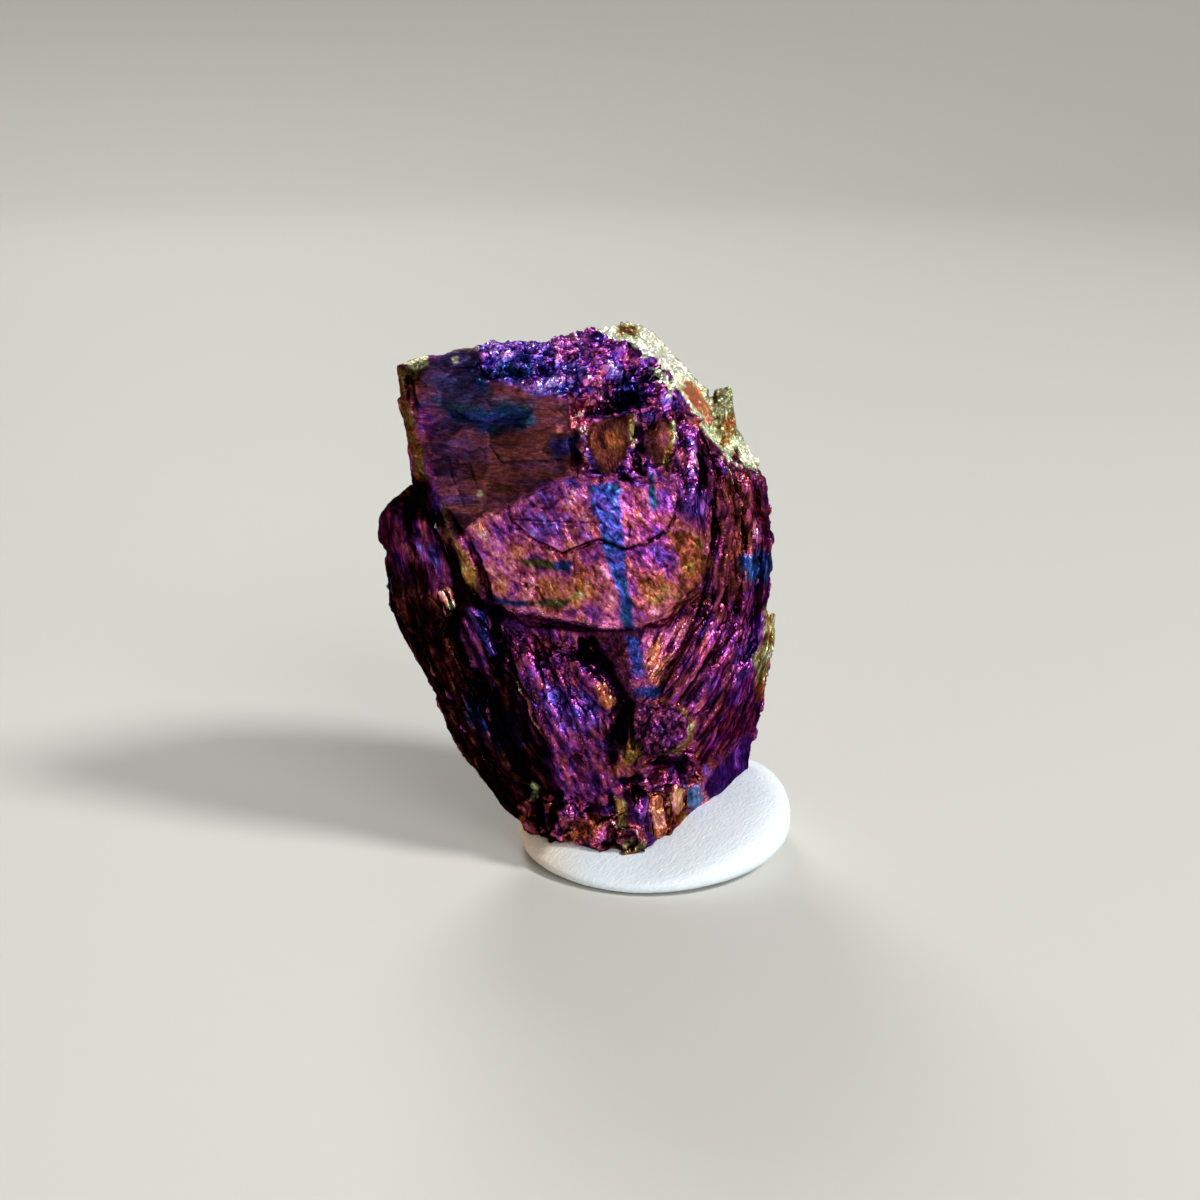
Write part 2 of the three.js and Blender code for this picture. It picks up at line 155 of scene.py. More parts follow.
def roughness(points, size, seed, octaves=3):
    # humps with smaller humps on them
    total = np.zeros(len(points))
    for octave in range(octaves):
        total += swell(points, size / 2**octave, seed + octave) / 2**octave
    return total


def waves(make, points, setting):
    # one layer of noise from its setting: amount, size in mm, seed
    amount, *rest = setting
    return amount * make(points, *rest)


def grains(points, size, seed):
    # space broken into cells: each point's cell middle, three random numbers, and how far its edge is in mm
    random = np.random.default_rng(seed)
    jitter = random.random((randomCount, 3))
    traits = random.random((randomCount, 3))
    scaled = points / size
    cell = np.floor(scaled)
    nearest = np.full(len(points), np.inf)
    second = np.full(len(points), np.inf)
    middle = np.zeros_like(points)
    trait = np.zeros_like(points)
    for step in np.ndindex(3, 3, 3):
        neighbour = cell + np.array(step) - 1
        code = scramble(neighbour, seed)
        place = neighbour + 0.1 + 0.8 * jitter[code]  # kept a little off its cell's sides
        distance = np.linalg.norm(place - scaled, axis=1)
        closer = distance < nearest
        second = np.where(closer, nearest, np.minimum(second, distance))
        nearest = np.where(closer, distance, nearest)
        middle[closer] = place[closer] * size
        trait[closer] = traits[code[closer]]
    return middle, trait, (second - nearest) * size


grit = {
    "facetCrease": 0.22,  # width of the crease, as a share of the facet
    "crumbCrease": 0.4,
    "lowCrumb": 0.6,  # height of the lowest crumb, as a share of the highest
    "flakeEdge": 0.1,  # mm
    "flakeCrack": 0.07,  # mm
    "flakeCrackDepth": 0.4,  # as a share of the step from flake to flake
    "uncracked": 0.6,  # share of the flakes
    "fibreRidges": ((0.16, 1.9), (0.15, 1.0)),  # rise and spacing, as shares of a fibre's width
    "fibreChips": (0.35, 1.35),  # tilt, and size as a share of the width
}


def facets(points, size, seed):
    # a surface broken into flat tilted faces that meet in creases
    middle, trait, edge = grains(points, size, seed)
    lean = 2 * trait - 1
    return np.einsum("ij,ij->i", lean, points - middle) * np.minimum(1, edge / (grit["facetCrease"] * size))


def crumb(points, size, seed):
    # rounded lumps with creases between them
    _, trait, edge = grains(points, size, seed)
    rise = np.minimum(1, edge / (grit["crumbCrease"] * size))
    low = grit["lowCrumb"]
    return np.sqrt(rise) * (low + (1 - low) * trait[:, 0]) - low


def flakes(points, size, seed):
    # flat scales, each a little higher or lower than the next, with a hair crack round some
    _, trait, edge = grains(points, size, seed)
    crack = grit["flakeCrackDepth"] * (trait[:, 1] > grit["uncracked"]) * bell(edge, grit["flakeCrack"])
    return (trait[:, 0] - 0.5) * np.minimum(1, edge / grit["flakeEdge"]) - crack


def fibres(places, width, seed):
    # fine ridges and chips that run along a flow
    (rise, spacing), (smallRise, smallSpacing) = grit["fibreRidges"]
    ridges = rise * swell(places, width * spacing, seed)
    ridges += smallRise * swell(places, width * smallSpacing, seed + 1)
    tilt, chipSize = grit["fibreChips"]
    return width * ridges + tilt * facets(places, width * chipSize, seed + 2)


def readMesh(mesh):
    count = len(mesh.vertices)
    places = np.empty(count * 3)
    mesh.vertices.foreach_get("co", places)
    normals = np.empty(count * 3)
    mesh.vertex_normals.foreach_get("vector", normals)
    return places.reshape(-1, 3), normals.reshape(-1, 3)


def writePlaces(mesh, places):
    mesh.vertices.foreach_set("co", places.astype(np.float32).ravel())
    mesh.update()


def applied(mesh, kind, **settings):
    # the mesh after one modifier
    holder = bpy.data.objects.new("holder", mesh)
    bpy.context.collection.objects.link(holder)
    modifier = holder.modifiers.new("step", kind)
    for name, value in settings.items():
        setattr(modifier, name, value)
    result = bpy.data.meshes.new_from_object(holder.evaluated_get(bpy.context.evaluated_depsgraph_get()))
    bpy.data.objects.remove(holder)
    return result


attributeKinds = {1: ("FLOAT", "value"), 3: ("FLOAT_VECTOR", "vector"), 4: ("FLOAT_COLOR", "color")}


def addAttribute(mesh, name, values):
    # a number, a vector or a colour with its alpha for each point
    kind, field = attributeKinds[values.size // len(values)]
    layer = mesh.attributes.new(name, kind, "POINT")
    layer.data.foreach_set(field, values.astype(np.float32).ravel())


def addPaint(mesh, colours):
    addAttribute(mesh, "paint", np.column_stack([colours, np.ones(len(colours))]))


def addPiece(name, mesh, node):
    mesh.transform(Matrix.Scale(metre, 4))
    piece = bpy.data.objects.new(name, mesh)
    bpy.context.collection.objects.link(piece)
    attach(piece, "root")
    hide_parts(node)


def newMaterial(name):
    material = bpy.data.materials.new(name)
    material.use_nodes = True
    tree = material.node_tree
    return material, tree, tree.nodes["Principled BSDF"]


def addNode(tree, kind, output, inputs, **settings):
    # a node whose inputs are numbers or other nodes' outputs, by name or place; gives one of its outputs
    node = tree.nodes.new("ShaderNode" + kind)
    for name, value in settings.items():
        setattr(node, name, value)
    for socket, value in inputs.items():
        if isinstance(value, bpy.types.NodeSocket):
            tree.links.new(value, node.inputs[socket])
        else:
            node.inputs[socket].default_value = value
    return node.outputs[output]


def readAttribute(tree, name, output):
    return addNode(tree, "Attribute", output, {}, attribute_name=name)


def mapRange(tree, value, ends, results):
    sockets = {"From Min": ends[0], "From Max": ends[1], "To Min": results[0], "To Max": results[1]}
    return addNode(tree, "MapRange", "Result", {"Value": value, **sockets})


def addGrain(tree, shader, where, scale, depth):
    # the finest unevenness of a surface
    grain = addNode(tree, "TexNoise", "Fac", {"Vector": where, "Scale": scale, "Detail": 4})
    bump = addNode(tree, "Bump", "Normal", {"Height": grain, "Distance": depth})
    tree.links.new(bump, shader.inputs["Normal"])


# the ore's front, in pixels of the front view
areas = {
    "topPlate": [
        (422, 366), (440, 357), (462, 346), (478, 350), (477, 380), (484, 383), (520, 383), (531, 394),
        (566, 394), (570, 430), (578, 447), (566, 465), (560, 481), (538, 489), (509, 506), (482, 516),
        (467, 525), (457, 538), (440, 500), (425, 460), (415, 420), (405, 395),
    ],
    "topBand": [
        (474, 344), (520, 336), (575, 328), (600, 322), (613, 318), (615, 345), (590, 400), (566, 394),
        (531, 394), (520, 383), (484, 383), (477, 370),
    ],
    "knuckles": [
        (566, 394), (590, 338), (640, 345), (680, 375), (700, 420), (680, 470), (650, 480), (590, 478),
        (566, 465), (578, 447), (570, 430),
    ],
    "brightPlate": [
        (457, 538), (470, 528), (482, 516), (509, 506), (538, 489), (560, 481), (590, 478), (650, 480),
        (672, 490), (674, 516), (700, 530), (708, 560), (700, 590), (668, 606), (655, 622), (620, 627),
        (560, 618), (505, 606), (484, 580),
    ],
    "crest": [
        (594, 318), (650, 312), (700, 350), (725, 380), (745, 380), (765, 470), (735, 480), (722, 452),
        (705, 436), (690, 418), (672, 395), (660, 374), (630, 352), (614, 340), (596, 335),
    ],
    "flank": [
        (690, 400), (705, 430), (735, 465), (770, 480), (790, 560), (785, 650), (770, 720), (748, 735),
        (700, 770), (690, 722), (682, 708), (655, 700), (640, 660), (640, 632), (668, 606), (700, 590),
        (708, 560), (700, 530), (674, 510), (680, 470),
    ],
    "middle": [
        (505, 620), (560, 625), (586, 632), (604, 660), (622, 700), (612, 764), (640, 770), (600, 810),
        (570, 800), (545, 760), (520, 700), (500, 655),
    ],
    "wing": [
        (376, 480), (420, 472), (436, 505), (462, 560), (490, 610), (505, 655), (528, 707), (566, 790),
        (560, 850), (500, 820), (440, 730), (380, 600),
    ],
    "nodule": [
        (636, 707), (661, 702), (682, 708), (691, 722), (689, 738), (678, 751), (659, 756), (640, 754),
        (633, 741),
    ],
    "toe": [
        (525, 790), (570, 795), (600, 805), (640, 768), (650, 790), (690, 762), (705, 785), (712, 800),
        (660, 850), (620, 865), (540, 850), (515, 825),
    ],
    "bronzeFacet": [(592, 422), (626, 414), (633, 433), (619, 466), (606, 474), (590, 458)],
    "redFacet": [(656, 416), (670, 420), (672, 434), (668, 449), (664, 464), (651, 466), (646, 449)],
    "crestCopper": [(681, 382), (694, 380), (708, 406), (704, 416), (692, 410), (682, 398)],
    "toeFacets": [
        (648, 792), (688, 788), (701, 786), (700, 812), (686, 830), (662, 842), (646, 842), (628, 826),
        (615, 828), (615, 798), (627, 800), (640, 815),
    ],
    "heelFace": [(701, 784), (720, 759), (748, 733), (760, 740), (752, 775), (709, 802)],
}

# where the grain of each striped area runs, first to last: how far it is drawn out, line
guides = {
    "flank": (5, [(690, 400), (712, 470), (722, 540), (716, 600), (684, 660), (640, 730)]),
    "farFlank": (5, [(740, 430), (752, 520), (752, 600), (736, 660), (700, 730), (670, 780)]),
    "middle": (3, [(505, 640), (530, 700), (560, 760), (585, 810)]),
    "wing": (5, [(392, 520), (405, 600), (440, 690), (480, 770), (530, 830)]),
}

# steps where one sheet of the plates ends over the next: which way is proud, height in mm, line
sheetEdges = {
    "brightFlake": (-1, 0.24, [
        (508, 508), (510, 520), (520, 528), (528, 536), (540, 543), (555, 550), (563, 554), (575, 548),
        (598, 540), (612, 544), (625, 550), (649, 542), (667, 531), (675, 516), (678, 495),
    ]),
    "plateFlake": (-1, 0.12, [(490, 446), (503, 463), (520, 460), (562, 459), (588, 450)]),
    "leftFlake": (-1, 0.12, [(426, 453), (456, 459), (459, 464), (470, 464), (473, 476), (478, 491)]),
    "brownFlake": (1, 0.12, [(450, 472), (459, 492), (464, 506)]),
    "blueStep": (-1, 0.18, [(433, 403), (456, 411), (470, 421), (487, 422), (506, 415), (532, 413)]),
    "lowerSheet": (1, 0.12, [(520, 572), (523, 583), (540, 588), (543, 599)]),
    "underPlate": (-1, 0.24, [(486, 596), (505, 608), (540, 616), (600, 627), (640, 628), (665, 612)]),
    "brightEdge": (1, 0.14, [(457, 538), (467, 526), (482, 516), (509, 507), (538, 490), (560, 482)]),
    "granularStep": (1, 0.16, [(480, 384), (500, 380), (522, 386), (534, 396), (566, 396)]),
}

# rounded ridges and troughs: half width and rise in mm, line
ribs = {
    "bandLedge": (0.45, 0.4, [(524, 390), (545, 385), (565, 373), (577, 364)]),
    "bandTrough": (0.38, -0.45, [(482, 372), (505, 371), (534, 373), (550, 366), (575, 357)]),
    "bandRim": (0.35, 0.3, [(480, 352), (520, 345), (560, 340), (590, 334)]),
    "knuckleRidge": (0.5, 0.5, [(592, 342), (606, 339), (625, 352), (650, 368), (664, 376)]),
    "knuckleRecess": (0.8, -0.7, [(620, 404), (630, 388), (645, 378)]),
    "knuckleFinger": (0.5, 0.45, [(657, 386), (654, 408), (648, 424)]),
    "lilacBlock": (0.45, 0.45, [(606, 366), (617, 373)]),
    "leftKnuckle": (0.55, 0.4, [(584, 370), (590, 392), (584, 414)]),
    "lowKnuckle": (0.5, 0.35, [(580, 430), (586, 448), (584, 468)]),
    "knuckleGap": (0.25, -0.4, [(570, 398), (577, 420), (574, 444), (578, 470)]),
    "pinkRidge": (0.35, 0.35, [(630, 416), (641, 428), (650, 434)]),
    "facetGap": (0.35, -0.5, [(639, 438), (641, 468)]),
    "flankPurpleRib": (0.35, 0.35, [(690, 432), (694, 478), (688, 500)]),
    "flankRib": (0.5, 0.24, [(722, 480), (730, 540), (727, 600), (704, 656), (672, 704)]),
    "flankFarRib": (0.5, 0.24, [(747, 490), (750, 540), (745, 600), (727, 650), (694, 706)]),
    "flankTrough": (0.35, -0.2, [(736, 480), (740, 540), (736, 600), (716, 652), (684, 704)]),
    "wingRib": (0.6, 0.35, [(430, 600), (452, 660), (480, 720), (520, 790)]),
    "wingTrough": (0.45, -0.35, [(446, 610), (470, 668), (500, 730), (534, 790)]),
    "wingCurl": (0.3, 0.3, [(408, 560), (406, 545), (414, 538), (420, 548)]),
    "middleRib": (0.4, 0.3, [(520, 640), (545, 690), (572, 750)]),
    "middleTrough": (0.3, -0.25, [(536, 640), (560, 690), (586, 752)]),
    "tongueRib": (0.45, 0.35, [(598, 684), (612, 700), (620, 716)]),
}

# cuts: half width and depth in mm, line
cracks = {
    "brightFlake": (0.09, 0.3, [
        (508, 508), (510, 520), (520, 528), (528, 536), (540, 543), (555, 550), (563, 554), (575, 548),
        (598, 540), (612, 544), (625, 550), (649, 542), (667, 531), (675, 516),
    ]),
    "scallopUpper": (0.06, 0.15, [(530, 503), (540, 508), (549, 509), (556, 502), (563, 497), (572, 500)]),
    "scallopLower": (0.05, 0.12, [(596, 505), (606, 512), (616, 508)]),
    "uprightCrack": (0.05, 0.14, [(627, 515), (630, 530), (628, 545)]),
    "lowerCrack": (0.05, 0.12, [(573, 558), (575, 570), (572, 582)]),
    "ruledLine": (0.06, 0.16, [(512, 519), (560, 521), (600, 523)]),
    "ruledLineLow": (0.05, 0.12, [(530, 524), (585, 527)]),
    "smallHook": (0.05, 0.14, [(520, 572), (521, 582), (530, 584), (538, 588), (543, 599)]),
    "plateFlake": (0.05, 0.12, [(490, 446), (497, 456), (503, 463), (520, 461), (545, 461), (562, 459)]),
    "leftFlake": (0.05, 0.1, [(456, 459), (459, 464), (470, 464), (473, 476), (478, 488)]),
    "brownFlake": (0.06, 0.14, [(450, 472), (455, 484), (459, 492), (464, 506)]),
    "blueStep": (0.06, 0.12, [(456, 411), (470, 421), (482, 422)]),
    "rimGap": (0.28, 0.6, [(447, 515), (458, 531), (470, 546), (480, 570), (490, 600)]),
    "underKnuckle": (0.16, 0.35, [(601, 478), (612, 474), (629, 479)]),
    "deepCut": (0.3, 0.34, [(592, 640), (604, 662), (622, 696)]),
    "deepCutLow": (0.3, 0.36, [(628, 704), (616, 735), (612, 762)]),
    "noduleLeft": (0.16, 0.3, [(632, 705), (630, 725), (634, 748)]),
    "archCave": (0.45, 0.5, [(655, 762), (668, 759), (681, 764), (684, 778)]),
    "flankHole": (0.35, 0.4, [(700, 455), (702, 470), (703, 486)]),
    "flankGap": (0.13, 0.18, [(717, 470), (714, 500), (715, 530), (708, 570)]),
    "flankGapLow": (0.12, 0.14, [(708, 570), (700, 610), (684, 640), (668, 668)]),
    "wingCut": (0.3, 0.45, [(496, 612), (500, 640), (512, 672), (530, 712), (548, 752)]),
    "wingFold": (0.2, 0.3, [(455, 612), (468, 640), (487, 680), (500, 715)]),
}


# how the ore's ground is shared out
ground = {
    "edge": 0.25,  # mm, softness of an area's edge
    "past": (2.5, 0.6),  # how far past an outline to look: in softnesses, and in mm
    "fray": (0.25, 1.5, 5),  # how far the edge wanders and over what length, in mm; seed
    "facing": (-0.25, 0.1),  # from turned away to counting as front, as cosines
    "frontEnds": (9.0, 5.0),  # mm along Y
    "parting": (722, 740),  # pixel columns where the near flank gives way to the far one
    "evenFacets": 0.75,  # how even the small facets are, where the plates are wholly so
    "evenPlates": 0.85,  # how much of the lumps is kept off the plates
    "calmTop": 0.5,  # how much less the film of the top plate shifts
    "brokenCrest": 0.15,  # how broken the crest is, where the blocks are wholly so
    "smallerGrains": (0.7, 0.8),  # how much of the broken ground is grainy, and of the grainy ground fine
    "lean": 0.22,  # mm sideways for each mm up, the slope that the sides and back follow
    "striped": (-0.35, 0.25),  # noise values over which striped ground sets in on the sides and back
    "stripedPatches": (7.0, 33),  # mm, seed
    "broken": (0.0, 0.4),
    "brokenPatches": (6.0, 61),
    "bend": (0.14, 1.1, (57, 58, 59)),  # how far sheets are bent and over what length, in mm; seeds
    "least": 0.01,  # points that belong less than this to an area are left out of it
}
# places drawn out along the lean, and how far; places squeezed along X, Y and Z
leaning = {"leaning": 3, "upright": 4, "tall": 5}
squeezed = {
    "banded": ("plain", (0.45, 1, 1.6)),
    "bandedBent": ("bent", (0.45, 1, 1.6)),
    "wideBent": ("bent", (0.6, 1, 1.2)),
    "streaked": ("plain", (0.3, 1, 1.7)),
    "squat": ("plain", (1, 1, 0.6)),
}
plateSlant = np.array([[0.82, 0, 0.57], [0, 1, 0], [-0.27, 0, 0.39]])  # ripples fall to the right

# the places that the finest grain of each area is drawn in, and their scale
grainPlaces = {
    "stripedBack": ("upright", 1),
    "flankStripes": ("flank", 0.8),
    "farFlankStripes": ("farFlank", 0.8),
    "middleStripes": ("middle", 0.8),
    "wingStripes": ("wing", 0.8),
    "topPlate": ("banded", 1),
    "brightPlate": ("slanted", 1),
    "smallFaces": ("leaning", 1),
}


class Skin:
    # the ore's points, where they fall in the front view, and how much each one belongs to each area
    def __init__(self, points, normals):
        self.points = points
        self.column, self.row = frontPixels(points)
        towards = np.array(viewpoint["eye"]) - points
        away = np.linalg.norm(towards, axis=1)
        facing = np.einsum("ij,ij->i", towards / away[:, None], normals)
        self.front = smoothStep(*ground["facing"], facing) * smoothStep(*ground["frontEnds"], points[:, 1])
        wander = waves(swell, points, ground["fray"])
        self.share = {name: self.within(outline, ground["edge"], wander) for name, outline in areas.items()}
        self.addShares()
        self.addPlaces(away)

    def within(self, outline, softness, wander):
        # 1 on the front inside a drawn outline, 0 outside, worked out only near it
        softnesses, more = ground["past"]
        margin = (softnesses * softness + more) * pixelsPerMm
        columns, rows = zip(*outline)
        near = (self.column > min(columns) - margin) & (self.column < max(columns) + margin)
        near &= (self.row > min(rows) - margin) & (self.row < max(rows) + margin)
        weight = np.zeros(len(self.points))
        inside = insideBy(self.column[near], self.row[near], outline)
        weight[near] = smoothStep(-softness, softness, inside + wander[near])
        return weight * self.front

    def total(self, *names):
        return np.clip(sum(self.share[name] for name in names), 0, 1)

    def addShares(self):
        # areas made from the drawn ones, and those that only the sides and back have
        share, back = self.share, 1 - self.front
        plates = self.total("topPlate", "brightPlate", "heelFace", "bronzeFacet", "redFacet")
        even = np.clip(plates + ground["evenFacets"] * self.total("toeFacets", "crestCopper"), 0, 1)
        rough = 1 - even
        far = smoothStep(*ground["parting"], self.column)
        share["lumpy"] = 1 - ground["evenPlates"] * plates
        share["open"] = 1 - plates
        share["calmTop"] = 1 - ground["calmTop"] * share["topPlate"]
        share["blocks"] = self.total("knuckles", "toe")
        share["smallFaces"] = np.clip(even - share["topPlate"] - share["brightPlate"], 0, 1)
        stripes = swell(self.points, *ground["stripedPatches"])
        share["stripedBack"] = back * smoothStep(*ground["striped"], stripes)
        share["flankStripes"] = share["flank"] * (1 - far) * rough
        share["farFlankStripes"] = share["flank"] * far * rough
        share["middleStripes"] = share["middle"] * rough
        share["wingStripes"] = share["wing"] * rough
        share["crestBreaks"] = share["crest"] * rough
        brokenBack = back * smoothStep(*ground["broken"], swell(self.points, *ground["brokenPatches"]))
        crest = ground["brokenCrest"] * share["crest"]
        brokenFront = np.clip(share["blocks"] + crest, 0, 1)
        share["broken"] = np.clip(brokenFront + brokenBack, 0, 1) * rough
        grainy, fine = ground["smallerGrains"]
        share["grainy"] = np.clip(grainy * share["broken"] + share["topBand"] + crest, 0, 1) * rough
        share["fine"] = np.clip(fine * share["grainy"] + share["nodule"], 0, 1) * rough

    def addPlaces(self, away):
        # the places that layers are drawn in: plain, or stretched, slanted or bent to an area's own grain
        points = self.points
        bend, size, seeds = ground["bend"]
        bent = points + bend * np.stack([swell(points, size, seed) for seed in seeds], axis=1)
        self.places = {"plain": points, "bent": bent, "slanted": bent @ plateSlant.T, "grain": points.copy()}
        for name, drawnOut in leaning.items():
            x, y, z = points.T
            self.places[name] = np.stack([x + ground["lean"] * z, y, z / drawnOut], axis=1)
        for name, (source, factors) in squeezed.items():
            self.places[name] = self.places[source] * np.array(factors)
        for name, (drawnOut, line) in guides.items():
            distance, side, along = lineDistance(self.column, self.row, line)
            self.places[name] = np.stack([distance * side, along / drawnOut, 0.6 * away], axis=1)
        for area, (name, scale) in grainPlaces.items():
            some = self.share[area] > 0.5
            self.places["grain"][some] = scale * self.places[name][some]

    def laid(self, layers):
        # a set of layers added up
        total = np.zeros(len(self.points))
        for area, place, make, rise, size, seed in layers.values():
            some = self.share[area] > ground["least"]
            total[some] += rise * self.share[area][some] * make(self.places[place][some], size, seed)
        return total


# layers of relief: area, places, maker, rise in mm, size in mm, seed
broadLayers = {
    "lumps": ("lumpy", "plain", roughness, 0.11, 1.9, 21),
    "backHumps": ("stripedBack", "upright", swell, 0.1, 1.3, 34),
    "flankHumps": ("flankStripes", "flank", swell, 0.08, 0.96, 50),
    "farFlankHumps": ("farFlankStripes", "farFlank", swell, 0.08, 0.96, 53),
    "middleHumps": ("middleStripes", "middle", swell, 0.08, 1.088, 56),
    "wingHumps": ("wingStripes", "wing", swell, 0.08, 1.28, 59),
    "brokenFaces": ("broken", "plain", facets, 0.75, 1.7, 63),
    "topHumps": ("topPlate", "plain", swell, 0.05, 2.4, 71),
    "brightHumps": ("brightPlate", "plain", swell, 0.07, 1.5, 73),
    "brightSmallHumps": ("brightPlate", "plain", swell, 0.035, 0.75, 74),
}
fineLayers = {
    "backFibres": ("stripedBack", "tall", fibres, 1, 0.36, 31),
    "flankFibres": ("flankStripes", "flank", fibres, 1, 0.3, 41),
    "farFlankFibres": ("farFlankStripes", "farFlank", fibres, 1, 0.3, 44),
    "middleFibres": ("middleStripes", "middle", fibres, 1, 0.34, 47),
    "wingFibres": ("wingStripes", "wing", fibres, 0.6, 0.4, 50),
    "brokenGrains": ("grainy", "plain", facets, 0.6, 0.8, 65),
    "smallGrains": ("fine", "plain", facets, 0.5, 0.38, 67),
    "smallestGrains": ("open", "plain", facets, 0.18, 0.26, 69),
    "crestLumps": ("crestBreaks", "plain", crumb, 0.11, 0.9, 55),
    "crestCrumbs": ("crestBreaks", "plain", crumb, 0.09, 0.42, 56),
    "topRipples": ("topPlate", "banded", swell, 0.014, 0.5, 72),
    "topGrit": ("topPlate", "plain", swell, 0.008, 0.24, 79),
    "topSheets": ("topPlate", "wideBent", flakes, 0.12, 1.5, 60),
    "topFlakes": ("topPlate", "bandedBent", flakes, 0.03, 0.55, 62),
    "brightSheets": ("brightPlate", "bent", flakes, 0.07, 1.15, 64),
    "brightFlakes": ("brightPlate", "bent", flakes, 0.035, 0.5, 66),
    "brightRipples": ("brightPlate", "slanted", swell, 0.04, 0.34, 74),
    "brightFacets": ("brightPlate", "slanted", facets, 0.075, 0.5, 75),
    "facetRipples": ("smallFaces", "upright", swell, 0.02, 0.4, 76),
}

# how the drawn steps, ribs and cracks are cut into the ground
drawn = {
    "wobbles": ((0.18, 0.9, 77), (0.1, 0.35, 78)),  # how lines wander: reach and length in mm, seed
    "jag": (0.26, 0.55, 53),  # how far a line jumps from grain to grain
    "stepTaper": 1.4,  # mm over which a step rises from its ends
    "stepReach": 3.2,  # mm behind a step, to where the sheet is level again
    "stepEdge": 0.05,  # mm
    "wander": {"step": 0.8, "rib": 0.6, "crack": 0.5},
    "crackDepth": 0.65,
    "crackChange": (0.6, 1.3, 98),
    "mostGrain": 0.34,  # mm that the grain may rise or sink
    "moreOnBlocks": 0.2,
}


def reliefOf(skin):
    # how far each point is raised or sunk along its normal, and the part of it that is fine grain
    points, wander = skin.points, drawn["wander"]
    fine = skin.laid(fineLayers)
    most = drawn["mostGrain"] + drawn["moreOnBlocks"] * skin.share["blocks"]
    height = most * np.tanh((skin.laid(broadLayers) + fine) / most)
    jagReach, jagSize, jagSeed = drawn["jag"]
    _, jag, _ = grains(points, jagSize, jagSeed)
    wobble = sum(waves(swell, points, setting) for setting in drawn["wobbles"]) + jagReach * (jag[:, 0] - 0.5)
    broken = drawn["crackDepth"] + waves(swell, points, drawn["crackChange"])
    for direction, rise, line in sheetEdges.values():
        distance, side, along = lineDistance(skin.column, skin.row, line)
        length = lineLength(line)
        taper = min(drawn["stepTaper"], length / 3)
        fade = smoothStep(0, taper, along) * smoothStep(0, taper, length - along)
        fade *= smoothStep(drawn["stepReach"], 0, distance)
        proud = np.tanh((distance * side * direction + wander["step"] * wobble) / drawn["stepEdge"])
        height += skin.front * 0.5 * rise * fade * proud
    for width, rise, line in ribs.values():
        distance, side, _ = lineDistance(skin.column, skin.row, line)
        height += skin.front * rise * bell(distance * side + wander["rib"] * wobble, width)
    for width, depth, line in cracks.values():
        distance, side, _ = lineDistance(skin.column, skin.row, line)
        height -= skin.front * broken * depth * bell(distance * side + wander["crack"] * wobble, width)
    return height, fine


# colours of the tarnish film from bare brass through copper, rose and violet to teal: place, display colour
filmColours = [
    (0, (222, 235, 192)),
    (0.08, (174, 142, 78)),
    (0.17, (188, 116, 70)),
    (0.28, (206, 116, 102)),
    (0.38, (200, 108, 132)),
    (0.48, (172, 84, 148)),
    (0.58, (130, 70, 158)),
    (0.68, (108, 80, 174)),
    (0.8, (66, 78, 158)),
    (0.9, (44, 74, 128)),
    (1, (52, 88, 106)),
]
dullColours = [
    (0, (86, 76, 52)),
    (0.2, (88, 55, 44)),
    (0.5, (78, 52, 66)),
    (0.8, (58, 58, 88)),
    (1, (38, 56, 74)),
]

